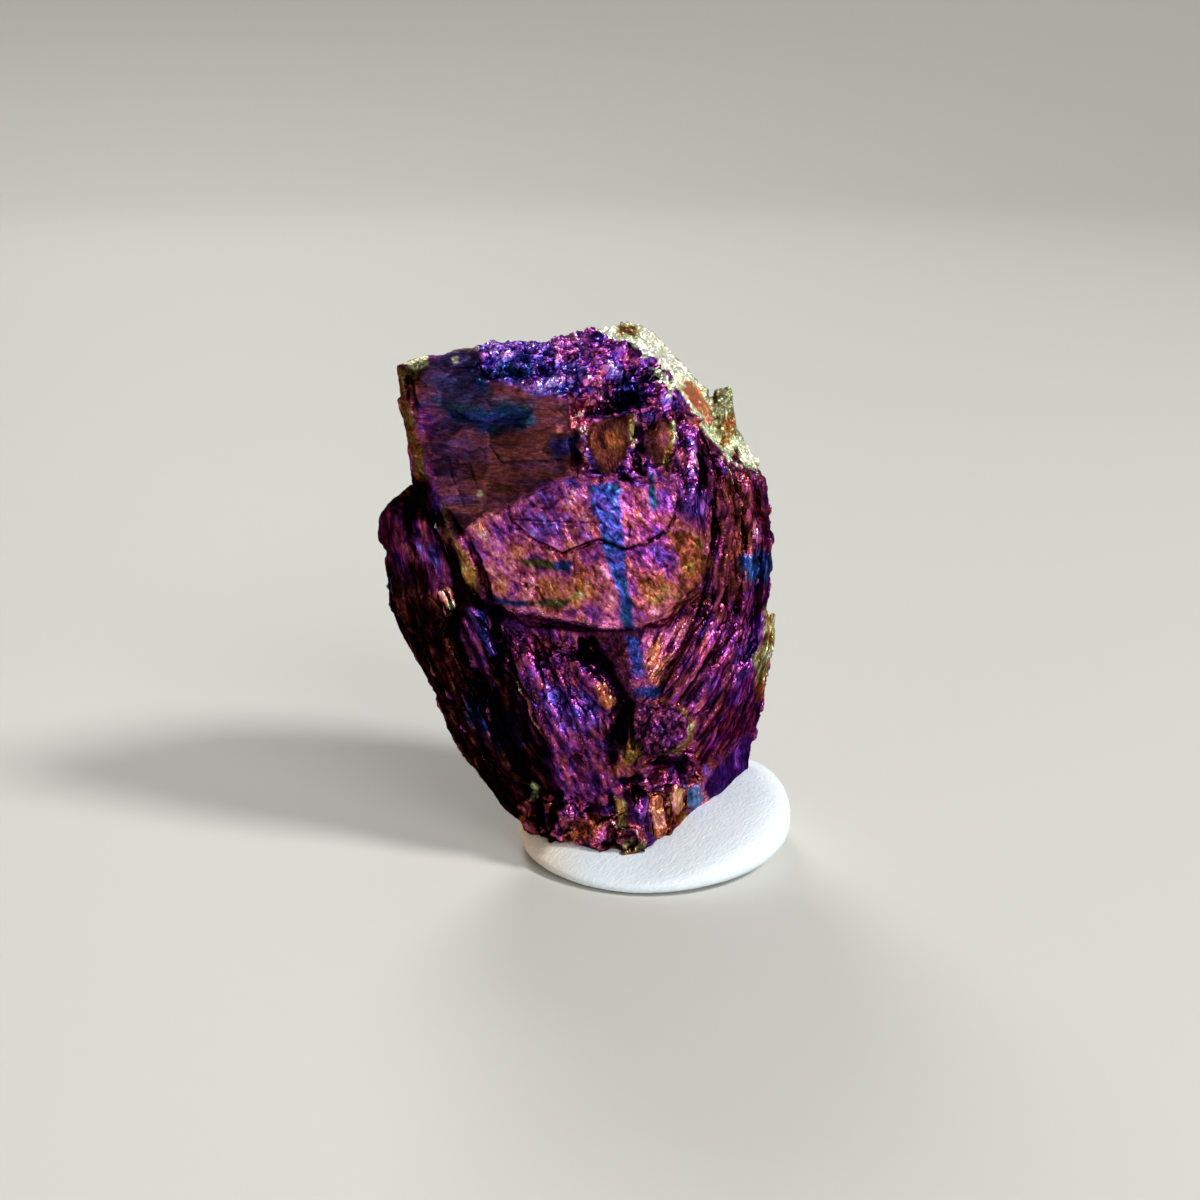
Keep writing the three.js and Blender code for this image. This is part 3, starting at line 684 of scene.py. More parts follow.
# patches of film on the front: film place, dullness, brightness, softness in mm, outline; a patch's low
# brightness can be painted shade, and a high one a painted highlight
filmPatches = {
    # painted shade: the wing lies in shadow, so its own red, brown and blue film is darkened nearly to black
    # here and in the near-black patches below
    "wingShade": (0.33, 0, 0.01, 0.5, [
        (376, 480), (420, 470), (440, 505), (466, 560), (492, 612), (520, 680), (566, 790), (560, 850),
        (500, 820), (440, 730), (380, 600),
    ]),
    # painted shade on the wing's top, which faces away from the light
    "wingTopShade": (0.25, 0, 0.02, 0.3, [
        (379, 522), (384, 500), (405, 485), (420, 472), (434, 500), (425, 512), (400, 510),
    ]),
    "wingMauve": (0.48, 0.1, 0.22, 0.7, [
        (386, 508), (404, 512), (411, 552), (408, 580), (398, 572), (391, 548),
    ]),
    "wingMagenta": (0.5, 0, 0.3, 0.4, [
        (412, 520), (430, 522), (440, 545), (450, 580), (446, 600), (430, 588), (420, 560),
    ]),
    # painted highlight: violet glints on the shadowed wing
    "wingVioletGlint": (0.64, 0, 1, 0.3, [(421, 545), (436, 548), (440, 566), (428, 562)]),
    # painted shade over the wing's lower brown film
    "wingBrownShade": (0.37, 0.1, 0.02, 1, [(390, 575), (430, 580), (436, 606), (402, 610)]),
    # pink facet: its own pink film, brightened as a painted highlight on the shadowed wing
    "pinkFacet": (0.3, 0, 1.7, 0.12, [(440, 592), (448, 588), (452, 604), (446, 608)]),
    "violetBlade": (0.68, 0, 0.9, 0.2, [(467, 609), (484, 612), (496, 652), (490, 655), (478, 630)]),
    "lilacStreak": (0.52, 0.1, 0.6, 0.25, [
        (457, 615), (470, 622), (486, 660), (493, 690), (484, 684), (468, 650),
    ]),
    # painted shade over the wing's blue-black lower part
    "wingBlueShade": (0.85, 0.2, 0.012, 0.7, [(460, 690), (500, 700), (530, 740), (520, 760), (470, 730)]),
    "rimStrip": (0.1, 0.1, 1, 0.25, [
        (437, 498), (444, 505), (462, 535), (476, 570), (476, 592), (466, 575), (450, 530),
    ]),
    "rimOrange": (0.2, 0, 1.2, 0.25, [(464, 540), (472, 546), (476, 568), (470, 566)]),
    "plateBase": (0.5, 0.85, 0.64, 0.4, [
        (418, 364), (440, 355), (462, 345), (480, 350), (486, 384), (520, 382), (532, 393), (567, 393),
        (572, 430), (580, 447), (567, 466), (560, 482), (538, 490), (509, 507), (482, 517), (467, 527),
        (457, 539), (440, 500), (428, 460), (418, 420), (412, 395),
    ]),
    "slateCorner": (0.74, 0.85, 0.66, 1.3, [
        (423, 366), (445, 352), (478, 350), (484, 383), (486, 405), (450, 408), (430, 398),
    ]),
    "brownPlate": (0.34, 0.85, 0.55, 2, [
        (470, 424), (520, 380), (566, 394), (572, 440), (585, 450), (560, 482), (500, 510), (467, 526),
        (470, 470),
    ]),
    "lilacPlate": (0.58, 0.75, 0.75, 1.6, [(426, 415), (460, 422), (470, 455), (440, 470), (430, 450)]),
    "blueBand": (0.92, 0.3, 0.5, 0.5, [
        (436, 398), (470, 408), (500, 404), (532, 404), (534, 422), (500, 432), (480, 432), (452, 418),
    ]),
    "blueCorner": (0.92, 0.2, 0.6, 0.4, [(472, 374), (486, 380), (484, 392), (474, 388)]),
    "blueRight": (0.84, 0.35, 0.5, 0.5, [(548, 440), (580, 436), (584, 452), (556, 456)]),
    "leftMagenta": (0.52, 0.1, 0.5, 0.5, [(414, 404), (430, 408), (434, 440), (422, 440)]),
    "cornerDark": (0.15, 0.3, 0.08, 0.15, [(397, 364), (420, 367), (423, 392), (410, 384), (402, 376)]),
    "cornerBrass": (0.03, 0.1, 0.8, 0.15, [(394, 355), (428, 355), (428, 366), (416, 368), (400, 363)]),
    "leftRim": (0.12, 0.2, 0.3, 0.2, [
        (394, 365), (401, 372), (412, 420), (424, 460), (428, 480), (415, 478), (404, 430),
    ]),
    "bumpBrass": (0.05, 0.2, 0.6, 0.25, [
        (446, 350), (456, 342), (476, 344), (482, 352), (478, 352), (462, 347),
    ]),
    "bandViolet": (0.68, 0, 1.2, 0.3, [
        (476, 342), (520, 338), (545, 334), (576, 332), (590, 345), (585, 400), (540, 396), (520, 386),
        (500, 380), (482, 366),
    ]),
    "bandBlue": (0.84, 0, 0.75, 0.4, [
        (484, 372), (500, 362), (530, 360), (540, 370), (522, 382), (500, 376),
    ]),
    "bandMagenta": (0.5, 0, 0.9, 0.3, [(545, 340), (575, 336), (580, 356), (556, 358)]),
    "knucklePurple": (0.57, 0, 0.6, 0.4, [
        (582, 332), (614, 334), (640, 350), (668, 378), (690, 405), (680, 440), (650, 470), (610, 476),
        (580, 470), (585, 440), (576, 400),
    ]),
    "knucklePink": (0.44, 0, 1, 0.4, [
        (576, 400), (600, 392), (606, 420), (590, 425), (590, 470), (578, 468), (580, 440),
    ]),
    "knuckleLilac": (0.62, 0, 1.3, 0.2, [(603, 364), (618, 364), (620, 378), (606, 380)]),
    "knuckleBlue": (0.8, 0, 0.4, 0.3, [(615, 378), (640, 376), (650, 386), (636, 410), (616, 408)]),
    "topPurple": (0.56, 0, 0.55, 0.3, [
        (600, 334), (614, 338), (650, 366), (664, 378), (640, 372), (612, 352),
    ]),
    "bronzeFacet": (0.26, 0.55, 0.14, 0.1, [
        (590, 424), (604, 416), (626, 412), (634, 420), (634, 436), (626, 458), (616, 470), (604, 476),
        (594, 466), (588, 446),
    ]),
    # painted highlight: orange-gold glint in the middle of the bronze facet
    "bronzeGlint": (0.17, 0.2, 0.3, 0.35, [(604, 434), (618, 428), (624, 444), (612, 452)]),
    "bronzeRim": (0.08, 0.1, 0.6, 0.2, [(626, 414), (634, 420), (637, 436), (632, 448), (630, 434)]),
    "redFacet": (0.34, 0.6, 0.18, 0.1, [
        (654, 414), (671, 418), (675, 432), (670, 449), (666, 464), (652, 468), (644, 450),
    ]),
    "redRim": (0.08, 0.1, 0.5, 0.2, [(670, 420), (676, 424), (675, 446), (668, 466), (664, 464), (669, 446)]),
    "crestBrass": (0, 0, 1.5, 0.15, [
        (594, 326), (628, 316), (665, 322), (720, 375), (745, 372), (756, 440), (758, 476), (734, 482),
        (724, 456), (712, 440), (700, 424), (690, 408), (680, 390), (668, 375), (655, 364), (630, 352),
        (615, 341), (596, 336),
    ]),
    "crestGold": (0.12, 0.2, 0.5, 0.3, [(614, 322), (640, 322), (638, 334), (618, 338)]),
    "crestOlive": (0.03, 0.1, 0.6, 0.6, [
        (700, 392), (722, 376), (745, 372), (750, 440), (730, 445), (712, 430),
    ]),
    "crestCopper": (0.2, 0, 1.3, 0.15, [
        (680, 382), (692, 379), (701, 391), (709, 408), (710, 421), (704, 424), (696, 411), (686, 397),
    ]),
    "finCopper": (0.11, 0, 0.7, 0.12, [
        (722, 446), (723, 428), (731, 412), (736, 414), (733, 430), (731, 447),
    ]),
    "brassVein": (0, 0, 1.2, 0.12, [
        (648, 372), (660, 376), (674, 386), (673, 394), (666, 398), (668, 388), (656, 380),
    ]),
    # painted shade in a hole in the crest
    "crestHoleShade": (0.3, 0.2, 0.2, 0.2, [(731, 447), (741, 446), (742, 464), (733, 460)]),
    "flankBase": (0.475, 0, 0.2, 0.5, [
        (690, 418), (722, 452), (770, 478), (790, 560), (785, 650), (770, 720), (748, 735), (700, 772),
        (690, 722), (682, 706), (655, 700), (645, 650), (668, 610), (700, 590), (708, 560), (700, 530),
        (680, 500),
    ]),
    "flankBrown": (0.32, 0.1, 0.2, 0.8, [(720, 490), (745, 480), (760, 520), (740, 600), (718, 600)]),
    "flankViolet": (0.6, 0, 0.75, 0.4, [(674, 488), (705, 480), (708, 514), (676, 520)]),
    # painted shade in the hole in the flank
    "flankHoleShade": (0.5, 0.3, 0.15, 0.25, [(696, 456), (709, 458), (709, 486), (699, 488)]),
    "flankPurpleLine": (0.56, 0, 1.1, 0.2, [(688, 430), (696, 434), (697, 476), (690, 480)]),
    "flankBlue": (0.92, 0.25, 0.5, 0.4, [
        (743, 558), (758, 552), (776, 556), (774, 572), (758, 592), (747, 580),
    ]),
    "flankPink": (0.4, 0, 1.2, 0.2, [(751, 521), (757, 520), (758, 541), (751, 541)]),
    "flankLilac": (0.56, 0, 0.68, 0.6, [
        (738, 628), (765, 612), (770, 650), (748, 700), (728, 706), (732, 670),
    ]),
    "hookBrass": (0.06, 0.15, 0.8, 0.2, [
        (753, 658), (764, 640), (764, 608), (778, 606), (780, 672), (770, 686), (756, 682),
    ]),
    "hookOrange": (0.16, 0.4, 0.5, 0.2, [(753, 684), (768, 682), (768, 700), (756, 700)]),
    "brightBase": (0.43, 0, 0.95, 0.3, [
        (457, 540), (482, 516), (509, 506), (538, 489), (560, 481), (590, 477), (650, 479), (674, 490),
        (676, 516), (702, 530), (710, 560), (700, 590), (668, 607), (655, 623), (620, 628), (560, 620),
        (505, 608), (484, 582),
    ]),
    "brightUpper": (0.54, 0.05, 0.95, 0.5, [
        (540, 490), (585, 480), (590, 500), (584, 536), (560, 548), (530, 530), (520, 505),
    ]),
    "brightUpperRight": (0.52, 0, 0.6, 0.5, [(612, 480), (644, 480), (644, 500), (614, 500)]),
    "brightOrangeUp": (0.34, 0, 0.62, 0.4, [(618, 500), (645, 498), (650, 530), (628, 545), (622, 520)]),
    "brightLower": (0.33, 0, 0.75, 0.9, [
        (500, 575), (560, 572), (600, 570), (606, 618), (560, 616), (508, 604), (490, 584),
    ]),
    "brightRightLower": (0.32, 0.05, 0.58, 0.9, [
        (628, 560), (670, 550), (690, 575), (664, 604), (650, 620), (628, 622),
    ]),
    "brightRight": (0.45, 0, 0.56, 0.9, [
        (612, 484), (672, 492), (678, 516), (702, 530), (706, 562), (664, 574), (630, 560),
    ]),
    "brightGold": (0.12, 0.1, 1.1, 0.3, [(572, 594), (582, 594), (583, 606), (573, 607)]),
    "brightGoldRight": (0.14, 0.1, 0.9, 0.4, [(648, 588), (668, 590), (664, 606), (650, 606)]),
    "goldSpeckle": (0.2, 0.2, 0.5, 0.5, [
        (672, 534), (706, 532), (709, 565), (700, 600), (672, 604), (680, 570),
    ]),
    "brightDashUpper": (0.02, 0.95, 0.4, 0.12, [(506, 558), (532, 558), (556, 563), (556, 571), (528, 568)]),
    "brightDashBlue": (0.84, 0.1, 0.5, 0.15, [(554, 563), (571, 563), (571, 573), (555, 572)]),
    "brightDashLower": (0.84, 0.4, 0.35, 0.16, [(488, 596), (530, 599), (532, 607), (520, 607), (492, 605)]),
    "brightDashGrey": (0.02, 0.95, 0.4, 0.14, [(528, 599), (568, 600), (569, 608), (530, 607)]),
    "blueStripe": (0.81, 0.1, 0.8, 0.16, [
        (586, 484), (617, 484), (620, 512), (623, 540), (627, 564), (632, 610), (639, 640), (646, 676),
        (632, 674), (626, 640), (619, 608), (614, 584), (605, 558), (600, 538), (592, 512),
    ]),
    "bluePatch": (0.82, 0.15, 0.7, 0.25, [(632, 686), (645, 684), (660, 688), (658, 699), (634, 699)]),
    "tealBand": (0.9, 0.6, 0.5, 0.2, [(646, 471), (655, 471), (657, 508), (650, 511)]),
    # painted shade under the bright plate's overhanging edge
    "underPlateShade": (0.5, 0.2, 0.28, 0.2, [
        (486, 598), (505, 609), (560, 620), (600, 628), (640, 630), (640, 636), (600, 635), (540, 628),
        (500, 619),
    ]),
    "middleBase": (0.505, 0, 0.34, 0.4, [
        (505, 628), (560, 634), (590, 640), (604, 662), (616, 700), (610, 764), (600, 812), (568, 800),
        (545, 760), (520, 704), (502, 655),
    ]),
    "middleBlue": (0.66, 0.05, 0.65, 0.6, [
        (545, 682), (585, 688), (600, 720), (586, 738), (560, 722), (540, 700),
    ]),
    "tongue": (0.26, 0.1, 0.55, 0.12, [
        (594, 684), (604, 683), (612, 692), (616, 706), (606, 709), (598, 698),
    ]),
    "cutShade": (0.5, 0.2, 0.2, 0.3, [
        (587, 632), (600, 650), (620, 680), (634, 690), (634, 704), (628, 740), (616, 764), (606, 764),
        (606, 720), (620, 705), (604, 672),
    ]),
    # painted shade in the groove left of the blue stripe, under the bright plate
    "stripeLeftShade": (0.45, 0.1, 0.12, 0.3, [
        (598, 634), (622, 632), (631, 660), (635, 690), (622, 692), (608, 664),
    ]),
    "peach": (0.28, 0.1, 0.95, 0.4, [(646, 642), (664, 640), (666, 680), (648, 684)]),
    "peachRight": (0.4, 0, 0.9, 0.6, [(660, 626), (690, 626), (690, 650), (662, 656)]),
    "noduleFace": (0.52, 0.35, 0.24, 0.12, areas["nodule"]),
    "noduleRim": (0.1, 0.3, 0.5, 0.12, [
        (684, 708), (694, 722), (692, 742), (680, 754), (660, 758), (660, 753), (676, 749), (687, 737),
        (688, 722), (680, 710),
    ]),
    "noduleGold": (0.1, 0.4, 0.5, 0.15, [(624, 744), (636, 740), (642, 752), (636, 764), (624, 766)]),
    # painted shade in the hollow under the arch
    "archShade": (0.55, 0.1, 0.3, 0.3, [
        (648, 762), (668, 758), (686, 762), (690, 788), (670, 790), (650, 786),
    ]),
    "archPink": (0.42, 0, 1.1, 0.2, [(653, 768), (667, 768), (668, 788), (655, 787)]),
    "toePurple": (0.52, 0, 0.25, 0.5, [
        (570, 795), (605, 780), (640, 768), (650, 792), (640, 815), (600, 820), (575, 812),
    ]),
    "toeCopper": (0.22, 0.05, 0.8, 0.2, [(648, 792), (688, 788), (686, 830), (662, 842), (650, 832)]),
    "toeGold": (0.08, 0.05, 0.7, 0.2, [(615, 798), (627, 800), (625, 830), (616, 828)]),
    "toePink": (0.36, 0, 1, 0.2, [(628, 822), (646, 824), (645, 842), (632, 840)]),
    "toeMagenta": (0.48, 0.1, 0.3, 0.3, [(598, 836), (627, 838), (624, 856), (600, 854)]),
    "toeBrown": (0.32, 0.1, 0.2, 0.5, [(556, 815), (598, 815), (600, 845), (560, 846)]),
    "toeTip": (0.08, 0.2, 0.45, 0.3, [(622, 845), (642, 844), (648, 856), (626, 860)]),
    "steel": (0.97, 0.95, 2.6, 0.3, [(686, 787), (700, 785), (704, 796), (699, 806), (690, 815), (687, 806)]),
    "heelViolet": (0.62, 0.1, 0.3, 0.35, areas["heelFace"]),
    "heelGlint": (0.62, 0, 1.3, 0.2, [(733, 750), (739, 744), (741, 758), (736, 766)]),
    "heelGlintLow": (0.6, 0, 1.2, 0.2, [(703, 768), (709, 764), (711, 776), (705, 782)]),
    "paleSpot": (0.03, 0.4, 1.2, 0.15, [(531, 786), (538, 786), (538, 796), (532, 797)]),
    # painted glints: small bright dots of light on the corner and on the top plate
    "cornerGlint": (0.02, 0.3, 1.3, 0.08, [(452, 358), (457, 357), (459, 363), (454, 365)]),
    "plateGlint": (0, 0.6, 0.55, 0.08, [(479, 490), (483, 493), (481, 497), (477, 496)]),
    "crystalPink": (0.42, 0, 1, 0.15, [(556, 424), (564, 424), (564, 433), (557, 432)]),
    "crystalLow": (0.4, 0, 1.4, 0.12, [(571, 410), (579, 410), (579, 418), (572, 418)]),
    # painted highlight: the pale tip of the pink facet
    "tipGlint": (0.02, 0.2, 1.4, 0.1, [(446, 602), (453, 602), (454, 611), (448, 611)]),
}


def displayColour(colour):
    # a display colour as the linear values Blender works in
    return tuple((c / 255 / 12.92 if c <= 10 else ((c / 255 + 0.055) / 1.055) ** 2.4) for c in colour)


def scaleColour(scale, place):
    # the colour at each place on a colour scale
    places = [p for p, _ in scale]
    colours = np.array([displayColour(c) for _, c in scale])
    return np.stack([np.interp(place, places, colours[:, i]) for i in range(3)], axis=1)


def filmColour(place, dull, shade):
    bright = scaleColour(filmColours, place)
    flat = scaleColour(dullColours, place)
    return (bright + np.asarray(dull)[..., None] * (flat - bright)) * np.asarray(shade)[..., None]


# how the film lies, where no patch says otherwise
film = {
    "place": 0.46,  # on the colour scale
    "drift": (0.24, 7.0, 81),  # amount, size in mm, seed
    "dullest": 0.3,
    "dullRange": (-0.2, 0.7),  # noise values over which dull film sets in
    "dullPatches": (5.0, 83),  # mm, seed
    "shade": 0.55,
    "shadeDrift": (0.2, 2.5, 85),
    "barePlace": 0.04,  # brassy breaks on the sides and back
    "bareRange": (0.5, 0.6),
    "barePatches": (3.8, 87, 5),  # mm, seed, octaves
    "grain": (0.32, 93),
    "fleck": (0.3, 92),
    "crest": 0.06,  # mm above the ground where a grain counts as high
    "grainShift": 0.12,
    "fleckShift": 0.09,
    "crestShift": -0.06,
    "frays": ((1, 1.6, 94), (0.6, 0.7, 95), (0.4, 0.3, 96)),  # how ragged a patch's edge is
    "wander": (1, 3.6, 99),
    "raggedness": (0.08, 0.6, 0.5),  # at least; and by softness, near and far
    "dullCalm": 0.35,  # how much less a dull patch shifts
    "brassCalm": (0.12, 0.15),  # least shift of bare brass, and the place on the scale where it ends
    "least": 0.003,  # share of a patch below which it is left out
}
# layers that shift the film along its colour scale: area, places, maker, shift, size in mm, seed
shiftLayers = {
    "clouds": ("calmTop", "plain", swell, 0.06, 1.1, 91),
    "topStreaks": ("topPlate", "streaked", swell, 0.2, 1.3, 88),
    "topFineStreaks": ("topPlate", "streaked", swell, 0.14, 0.45, 89),
    "brightClouds": ("brightPlate", "plain", swell, 0.17, 2.2, 84),
    "brightGrain": ("brightPlate", "grain", swell, 0.07, 0.9, 86),
    "blockClouds": ("blocks", "plain", swell, 0.12, 1.4, 51),
}
# painted light and shade: how the film lightens in painted highlights where it gleams and darkens in painted
# shade in the hollows and cracks, with some random tone
gleam = {
    "crest": 0.55,
    "patches": (0.35, 0.6, 97),  # amount, size in mm, seed
    "grain": 0.7,
    "height": (1.1, 0.4, -1.4, 0.5),  # amount; rise in mm that counts as one; lowest and highest
    "calmBright": 0.5,  # how much less the bright plate answers to height
    "crack": (1.6, 1.3),  # painted shade beside a crack: amount, and width beside the crack's own
    "block": (1.25, 52),  # painted light: whole blocks of broken ground catch the light or miss it: mm, seed
    "blockBend": 0.15,  # mm
    "blockLight": 2.2,
    "blockCrack": (0.9, 0.07),  # painted shade between blocks: amount, mm
    "brightBlocks": (0.75, 0.85),  # the highest random numbers give a block a painted highlight
    "halfBlocky": 0.6,  # how blocky the top band, sides and back are
    "nodule": (2.4, 0.5),  # from grain to grain, from fleck to fleck
    "brightPlate": (0.5, 1),
    "flank": (0.6, 0.8, 54),
    "flankFleck": 0.7,
    "dullCalm": 0.4,
    "facetCalm": 0.5,
    "limits": (-2, 1.2),  # darkest and palest
    "lift": (0.52, 1.3),  # how far gleams are lifted, and how steeply
    "sink": 0.45,
    "hueHeld": 1.35,  # how far dark film deepens in hue
    "paleLevels": (0.04, 0.8),  # from film that keeps its hue to film that goes pale
    "hollows": (0.7, 0.6),  # painted shade in the hollows: how dark, and how much less on the crest
    "crestMatt": 0.75,
}


def tarnishOf(skin, height, fine):
    # the film's colour and dullness at each point, with painted highlights and painted shade in the colour
    points, share, grain = skin.points, skin.share, skin.places["grain"]
    place = film["place"] + waves(roughness, points, film["drift"])
    dull = film["dullest"] * smoothStep(*film["dullRange"], roughness(points, *film["dullPatches"]))
    shade = film["shade"] + waves(roughness, points, film["shadeDrift"])
    bareNoise = roughness(skin.places["squat"], *film["barePatches"])
    bare = (1 - skin.front) * smoothStep(*film["bareRange"], bareNoise)
    place += bare * (film["barePlace"] - place)
    shade += bare * (1 - shade)
    # small shifts from grain to grain, and with the height of each grain
    crest = np.clip(fine / film["crest"], -1, 1)
    fleck = swell(grain, *film["fleck"])
    _, trait, _ = grains(grain, *film["grain"])
    trait -= 0.5  # about nought
    shift = film["grainShift"] * trait[:, 0] + film["fleckShift"] * fleck + film["crestShift"] * crest
    shift = share["calmTop"] * shift + skin.laid(shiftLayers)
    fray = sum(waves(swell, points, setting) for setting in film["frays"])
    wander = waves(swell, points, film["wander"])
    least, near, far = film["raggedness"]
    leastShift, brass = film["brassCalm"]
    colour = filmColour(place + shift, dull, shade)
    for value, dullness, brightness, softness, outline in filmPatches.values():
        ragged = fray * (least + near * softness) + wander * far * softness
        weight = skin.within(outline, softness, ragged)
        some = weight > film["least"]
        calm = (1 - film["dullCalm"] * dullness) * (leastShift + (1 - leastShift) * min(1, value / brass))
        own = filmColour(value + calm * shift[some], dullness, brightness)
        colour[some] += weight[some, None] * (own - colour[some])
        dull[some] += weight[some] * (dullness - dull[some])
    # painted light: high grains gleam pale as painted highlights, cracks and hollows go deep and dark as
    # painted shade, with some random tone
    tone = gleam["crest"] * crest + waves(swell, points, gleam["patches"]) + gleam["grain"] * trait[:, 1]
    amount, rise, *ends = gleam["height"]
    tone += amount * np.clip(height / rise, *ends) * (1 - gleam["calmBright"] * share["brightPlate"])
    # painted shade beside each crack
    dark, wider = gleam["crack"]
    for width, _, line in cracks.values():
        distance, _, _ = lineDistance(skin.column, skin.row, line)
        tone -= dark * skin.front * bell(distance, wider * width)
    # painted light: whole blocks catch the light or miss it, with painted shade in the cracks between them
    blocky = np.clip(share["blocks"] + gleam["halfBlocky"] * (share["topBand"] + 1 - skin.front), 0, 1)
    bend = gleam["blockBend"] * np.stack([wander, fray, fleck], axis=1)
    _, block, blockEdge = grains(points + bend, *gleam["block"])
    dark, width = gleam["blockCrack"]
    blockLighting = gleam["blockLight"] * (block[:, 1] - 0.5) - dark * bell(blockEdge, width)
    tone += blocky * (blockLighting + smoothStep(*gleam["brightBlocks"], block[:, 2]))
    grainy, flecked = gleam["nodule"]
    tone += share["nodule"] * (grainy * trait[:, 2] + flecked * fleck)
    tone *= 1 - gleam["dullCalm"] * dull
    grainy, flecked = gleam["brightPlate"]
    tone += share["brightPlate"] * (grainy * trait[:, 2] + flecked * fleck)
    tone += share["flank"] * (gleam["flankFleck"] * fleck + waves(swell, grain, gleam["flank"]))
    tone *= 1 - gleam["facetCalm"] * skin.total("bronzeFacet", "redFacet")
    lowest, highest = gleam["limits"]
    lift, curve = gleam["lift"]
    sunk = np.clip(tone, lowest, 0)
    power = (1 - lift * np.clip(tone, 0, highest) ** curve - gleam["sink"] * sunk)[:, None]
    # bright film goes pale in its painted highlights, dark film keeps its hue
    colour = np.clip(colour, 0.0005, 1)  # never wholly black
    level = colour.max(axis=1, keepdims=True)
    rich = (colour / level) ** gleam["hueHeld"] * level**power
    colour = rich + smoothStep(*gleam["paleLevels"], level) * (colour**power - rich)
    # painted shade deepens the hollows, less on the crest
    dark, less = gleam["hollows"]
    colour *= np.exp((dark - less * share["crest"]) * sunk)[:, None]
    matt = np.maximum(dull, gleam["crestMatt"] * share["crest"])
    return np.clip(colour, 0, 1), np.clip(matt, 0, 1)


tarnish = {
    "metallic": (1.0, 0.8),  # clean film, dull film
    "roughness": (0.25, 0.5),
    "edgeGleam": 0.25,
    "edgeTint": (0.35, 0.3, 0.4),
    "grain": 7.5,  # per mm
    "grainDepth": 0.00005,  # m
    "speckle": {"Scale": 4.2, "Detail": 4, "Roughness": 0.8},
    "specks": (0.34, 0.66),  # noise values of the darkest and the lightest specks
    "speckShade": (0.15, 1.9),
    "speckCalm": (0, 0.3),  # how much clean and dull film quieten the specks
    "brightSpecks": (0.52, 0.7),
    "speckGleam": (0, 0.3),  # how far they go pale, as painted highlights
    "lightness": (0.3, 0.6, 0.1),  # how much red, green and blue count
}


def tarnishMaterial():
    material, tree, shader = newMaterial("tarnish")
    where = readAttribute(tree, "grain", "Vector")
    paint = readAttribute(tree, "paint", "Color")
    dull = readAttribute(tree, "dull", "Fac")
    speckle = addNode(tree, "TexNoise", "Fac", {"Vector": where, **tarnish["speckle"]})
    shade = mapRange(tree, speckle, tarnish["specks"], tarnish["speckShade"])
    calm = mapRange(tree, dull, (0, 1), tarnish["speckCalm"])
    shade = addNode(tree, "Mix", "Result", {"Factor": calm, "A": shade, "B": 1})
    shaded = addNode(tree, "VectorMath", "Vector", {"Vector": paint, "Scale": shade}, operation="SCALE")
    # painted highlights: the brightest specks go pale, by as much as they are light
    glint = mapRange(tree, speckle, tarnish["brightSpecks"], tarnish["speckGleam"])
    weighed = {0: shaded, 1: tarnish["lightness"]}
    light = addNode(tree, "VectorMath", "Value", weighed, operation="DOT_PRODUCT")
    pale = addNode(tree, "Math", "Value", {0: light, 1: glint}, operation="MULTIPLY")
    lifted = addNode(tree, "VectorMath", "Vector", {0: shaded, 1: pale}, operation="ADD")
    tree.links.new(lifted, shader.inputs["Base Color"])
    tree.links.new(mapRange(tree, dull, (0, 1), tarnish["metallic"]), shader.inputs["Metallic"])
    tree.links.new(mapRange(tree, dull, (0, 1), tarnish["roughness"]), shader.inputs["Roughness"])
    shader.inputs["Specular IOR Level"].default_value = tarnish["edgeGleam"]
    shader.inputs["Specular Tint"].default_value = (*tarnish["edgeTint"], 1)
    addGrain(tree, shader, where, tarnish["grain"], tarnish["grainDepth"])
    return material


stone = {
    "weld": 0.0005,  # mm
    "voxel": 0.125,  # mm
    "quickVoxel": 0.17,
    "rounding": 8,  # passes
    "cuts": (13.0, 21.5, 29.5),  # mm up, where the skin is parted into pieces
    "names": ("oreFoot", "oreWaist", "oreChest", "oreCrown"),
    "fewestPoints": 120,  # a loose bit with fewer is dropped
    "capSlack": 0.0001,  # mm, how near a cut a face counts as its cap
    "evenAreas": ("topPlate", "brightPlate", "bronzeFacet", "redFacet", "heelFace", "wing"),
}


def oreSkin():
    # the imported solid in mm, remade as a fine even skin
    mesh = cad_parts["ore"].data.copy()
    mesh.transform(Matrix.Scale(1 / metre, 4))
    weld = bmesh.new()
    weld.from_mesh(mesh)
    bmesh.ops.remove_doubles(weld, verts=weld.verts, dist=stone["weld"])
    weld.to_mesh(mesh)
    weld.free()
    mesh = applied(mesh, "REMESH", mode="VOXEL", voxel_size=stone["voxel"])
    return applied(mesh, "SMOOTH", factor=0.5, iterations=stone["rounding"])


def dropCrumbs(work):
    # the small loose bits that a cut leaves are taken away
    work.verts.index_update()
    seen = bytearray(len(work.verts))
    crumbs = []
    for start in work.verts:
        if seen[start.index]:
            continue
        seen[start.index] = 1
        island = [start]
        for point in island:
            for edge in point.link_edges:
                other = edge.other_vert(point)
                if not seen[other.index]:
                    seen[other.index] = 1
                    island.append(other)
        if len(island) < stone["fewestPoints"]:
            crumbs += island
    bmesh.ops.delete(work, geom=crumbs, context="VERTS")


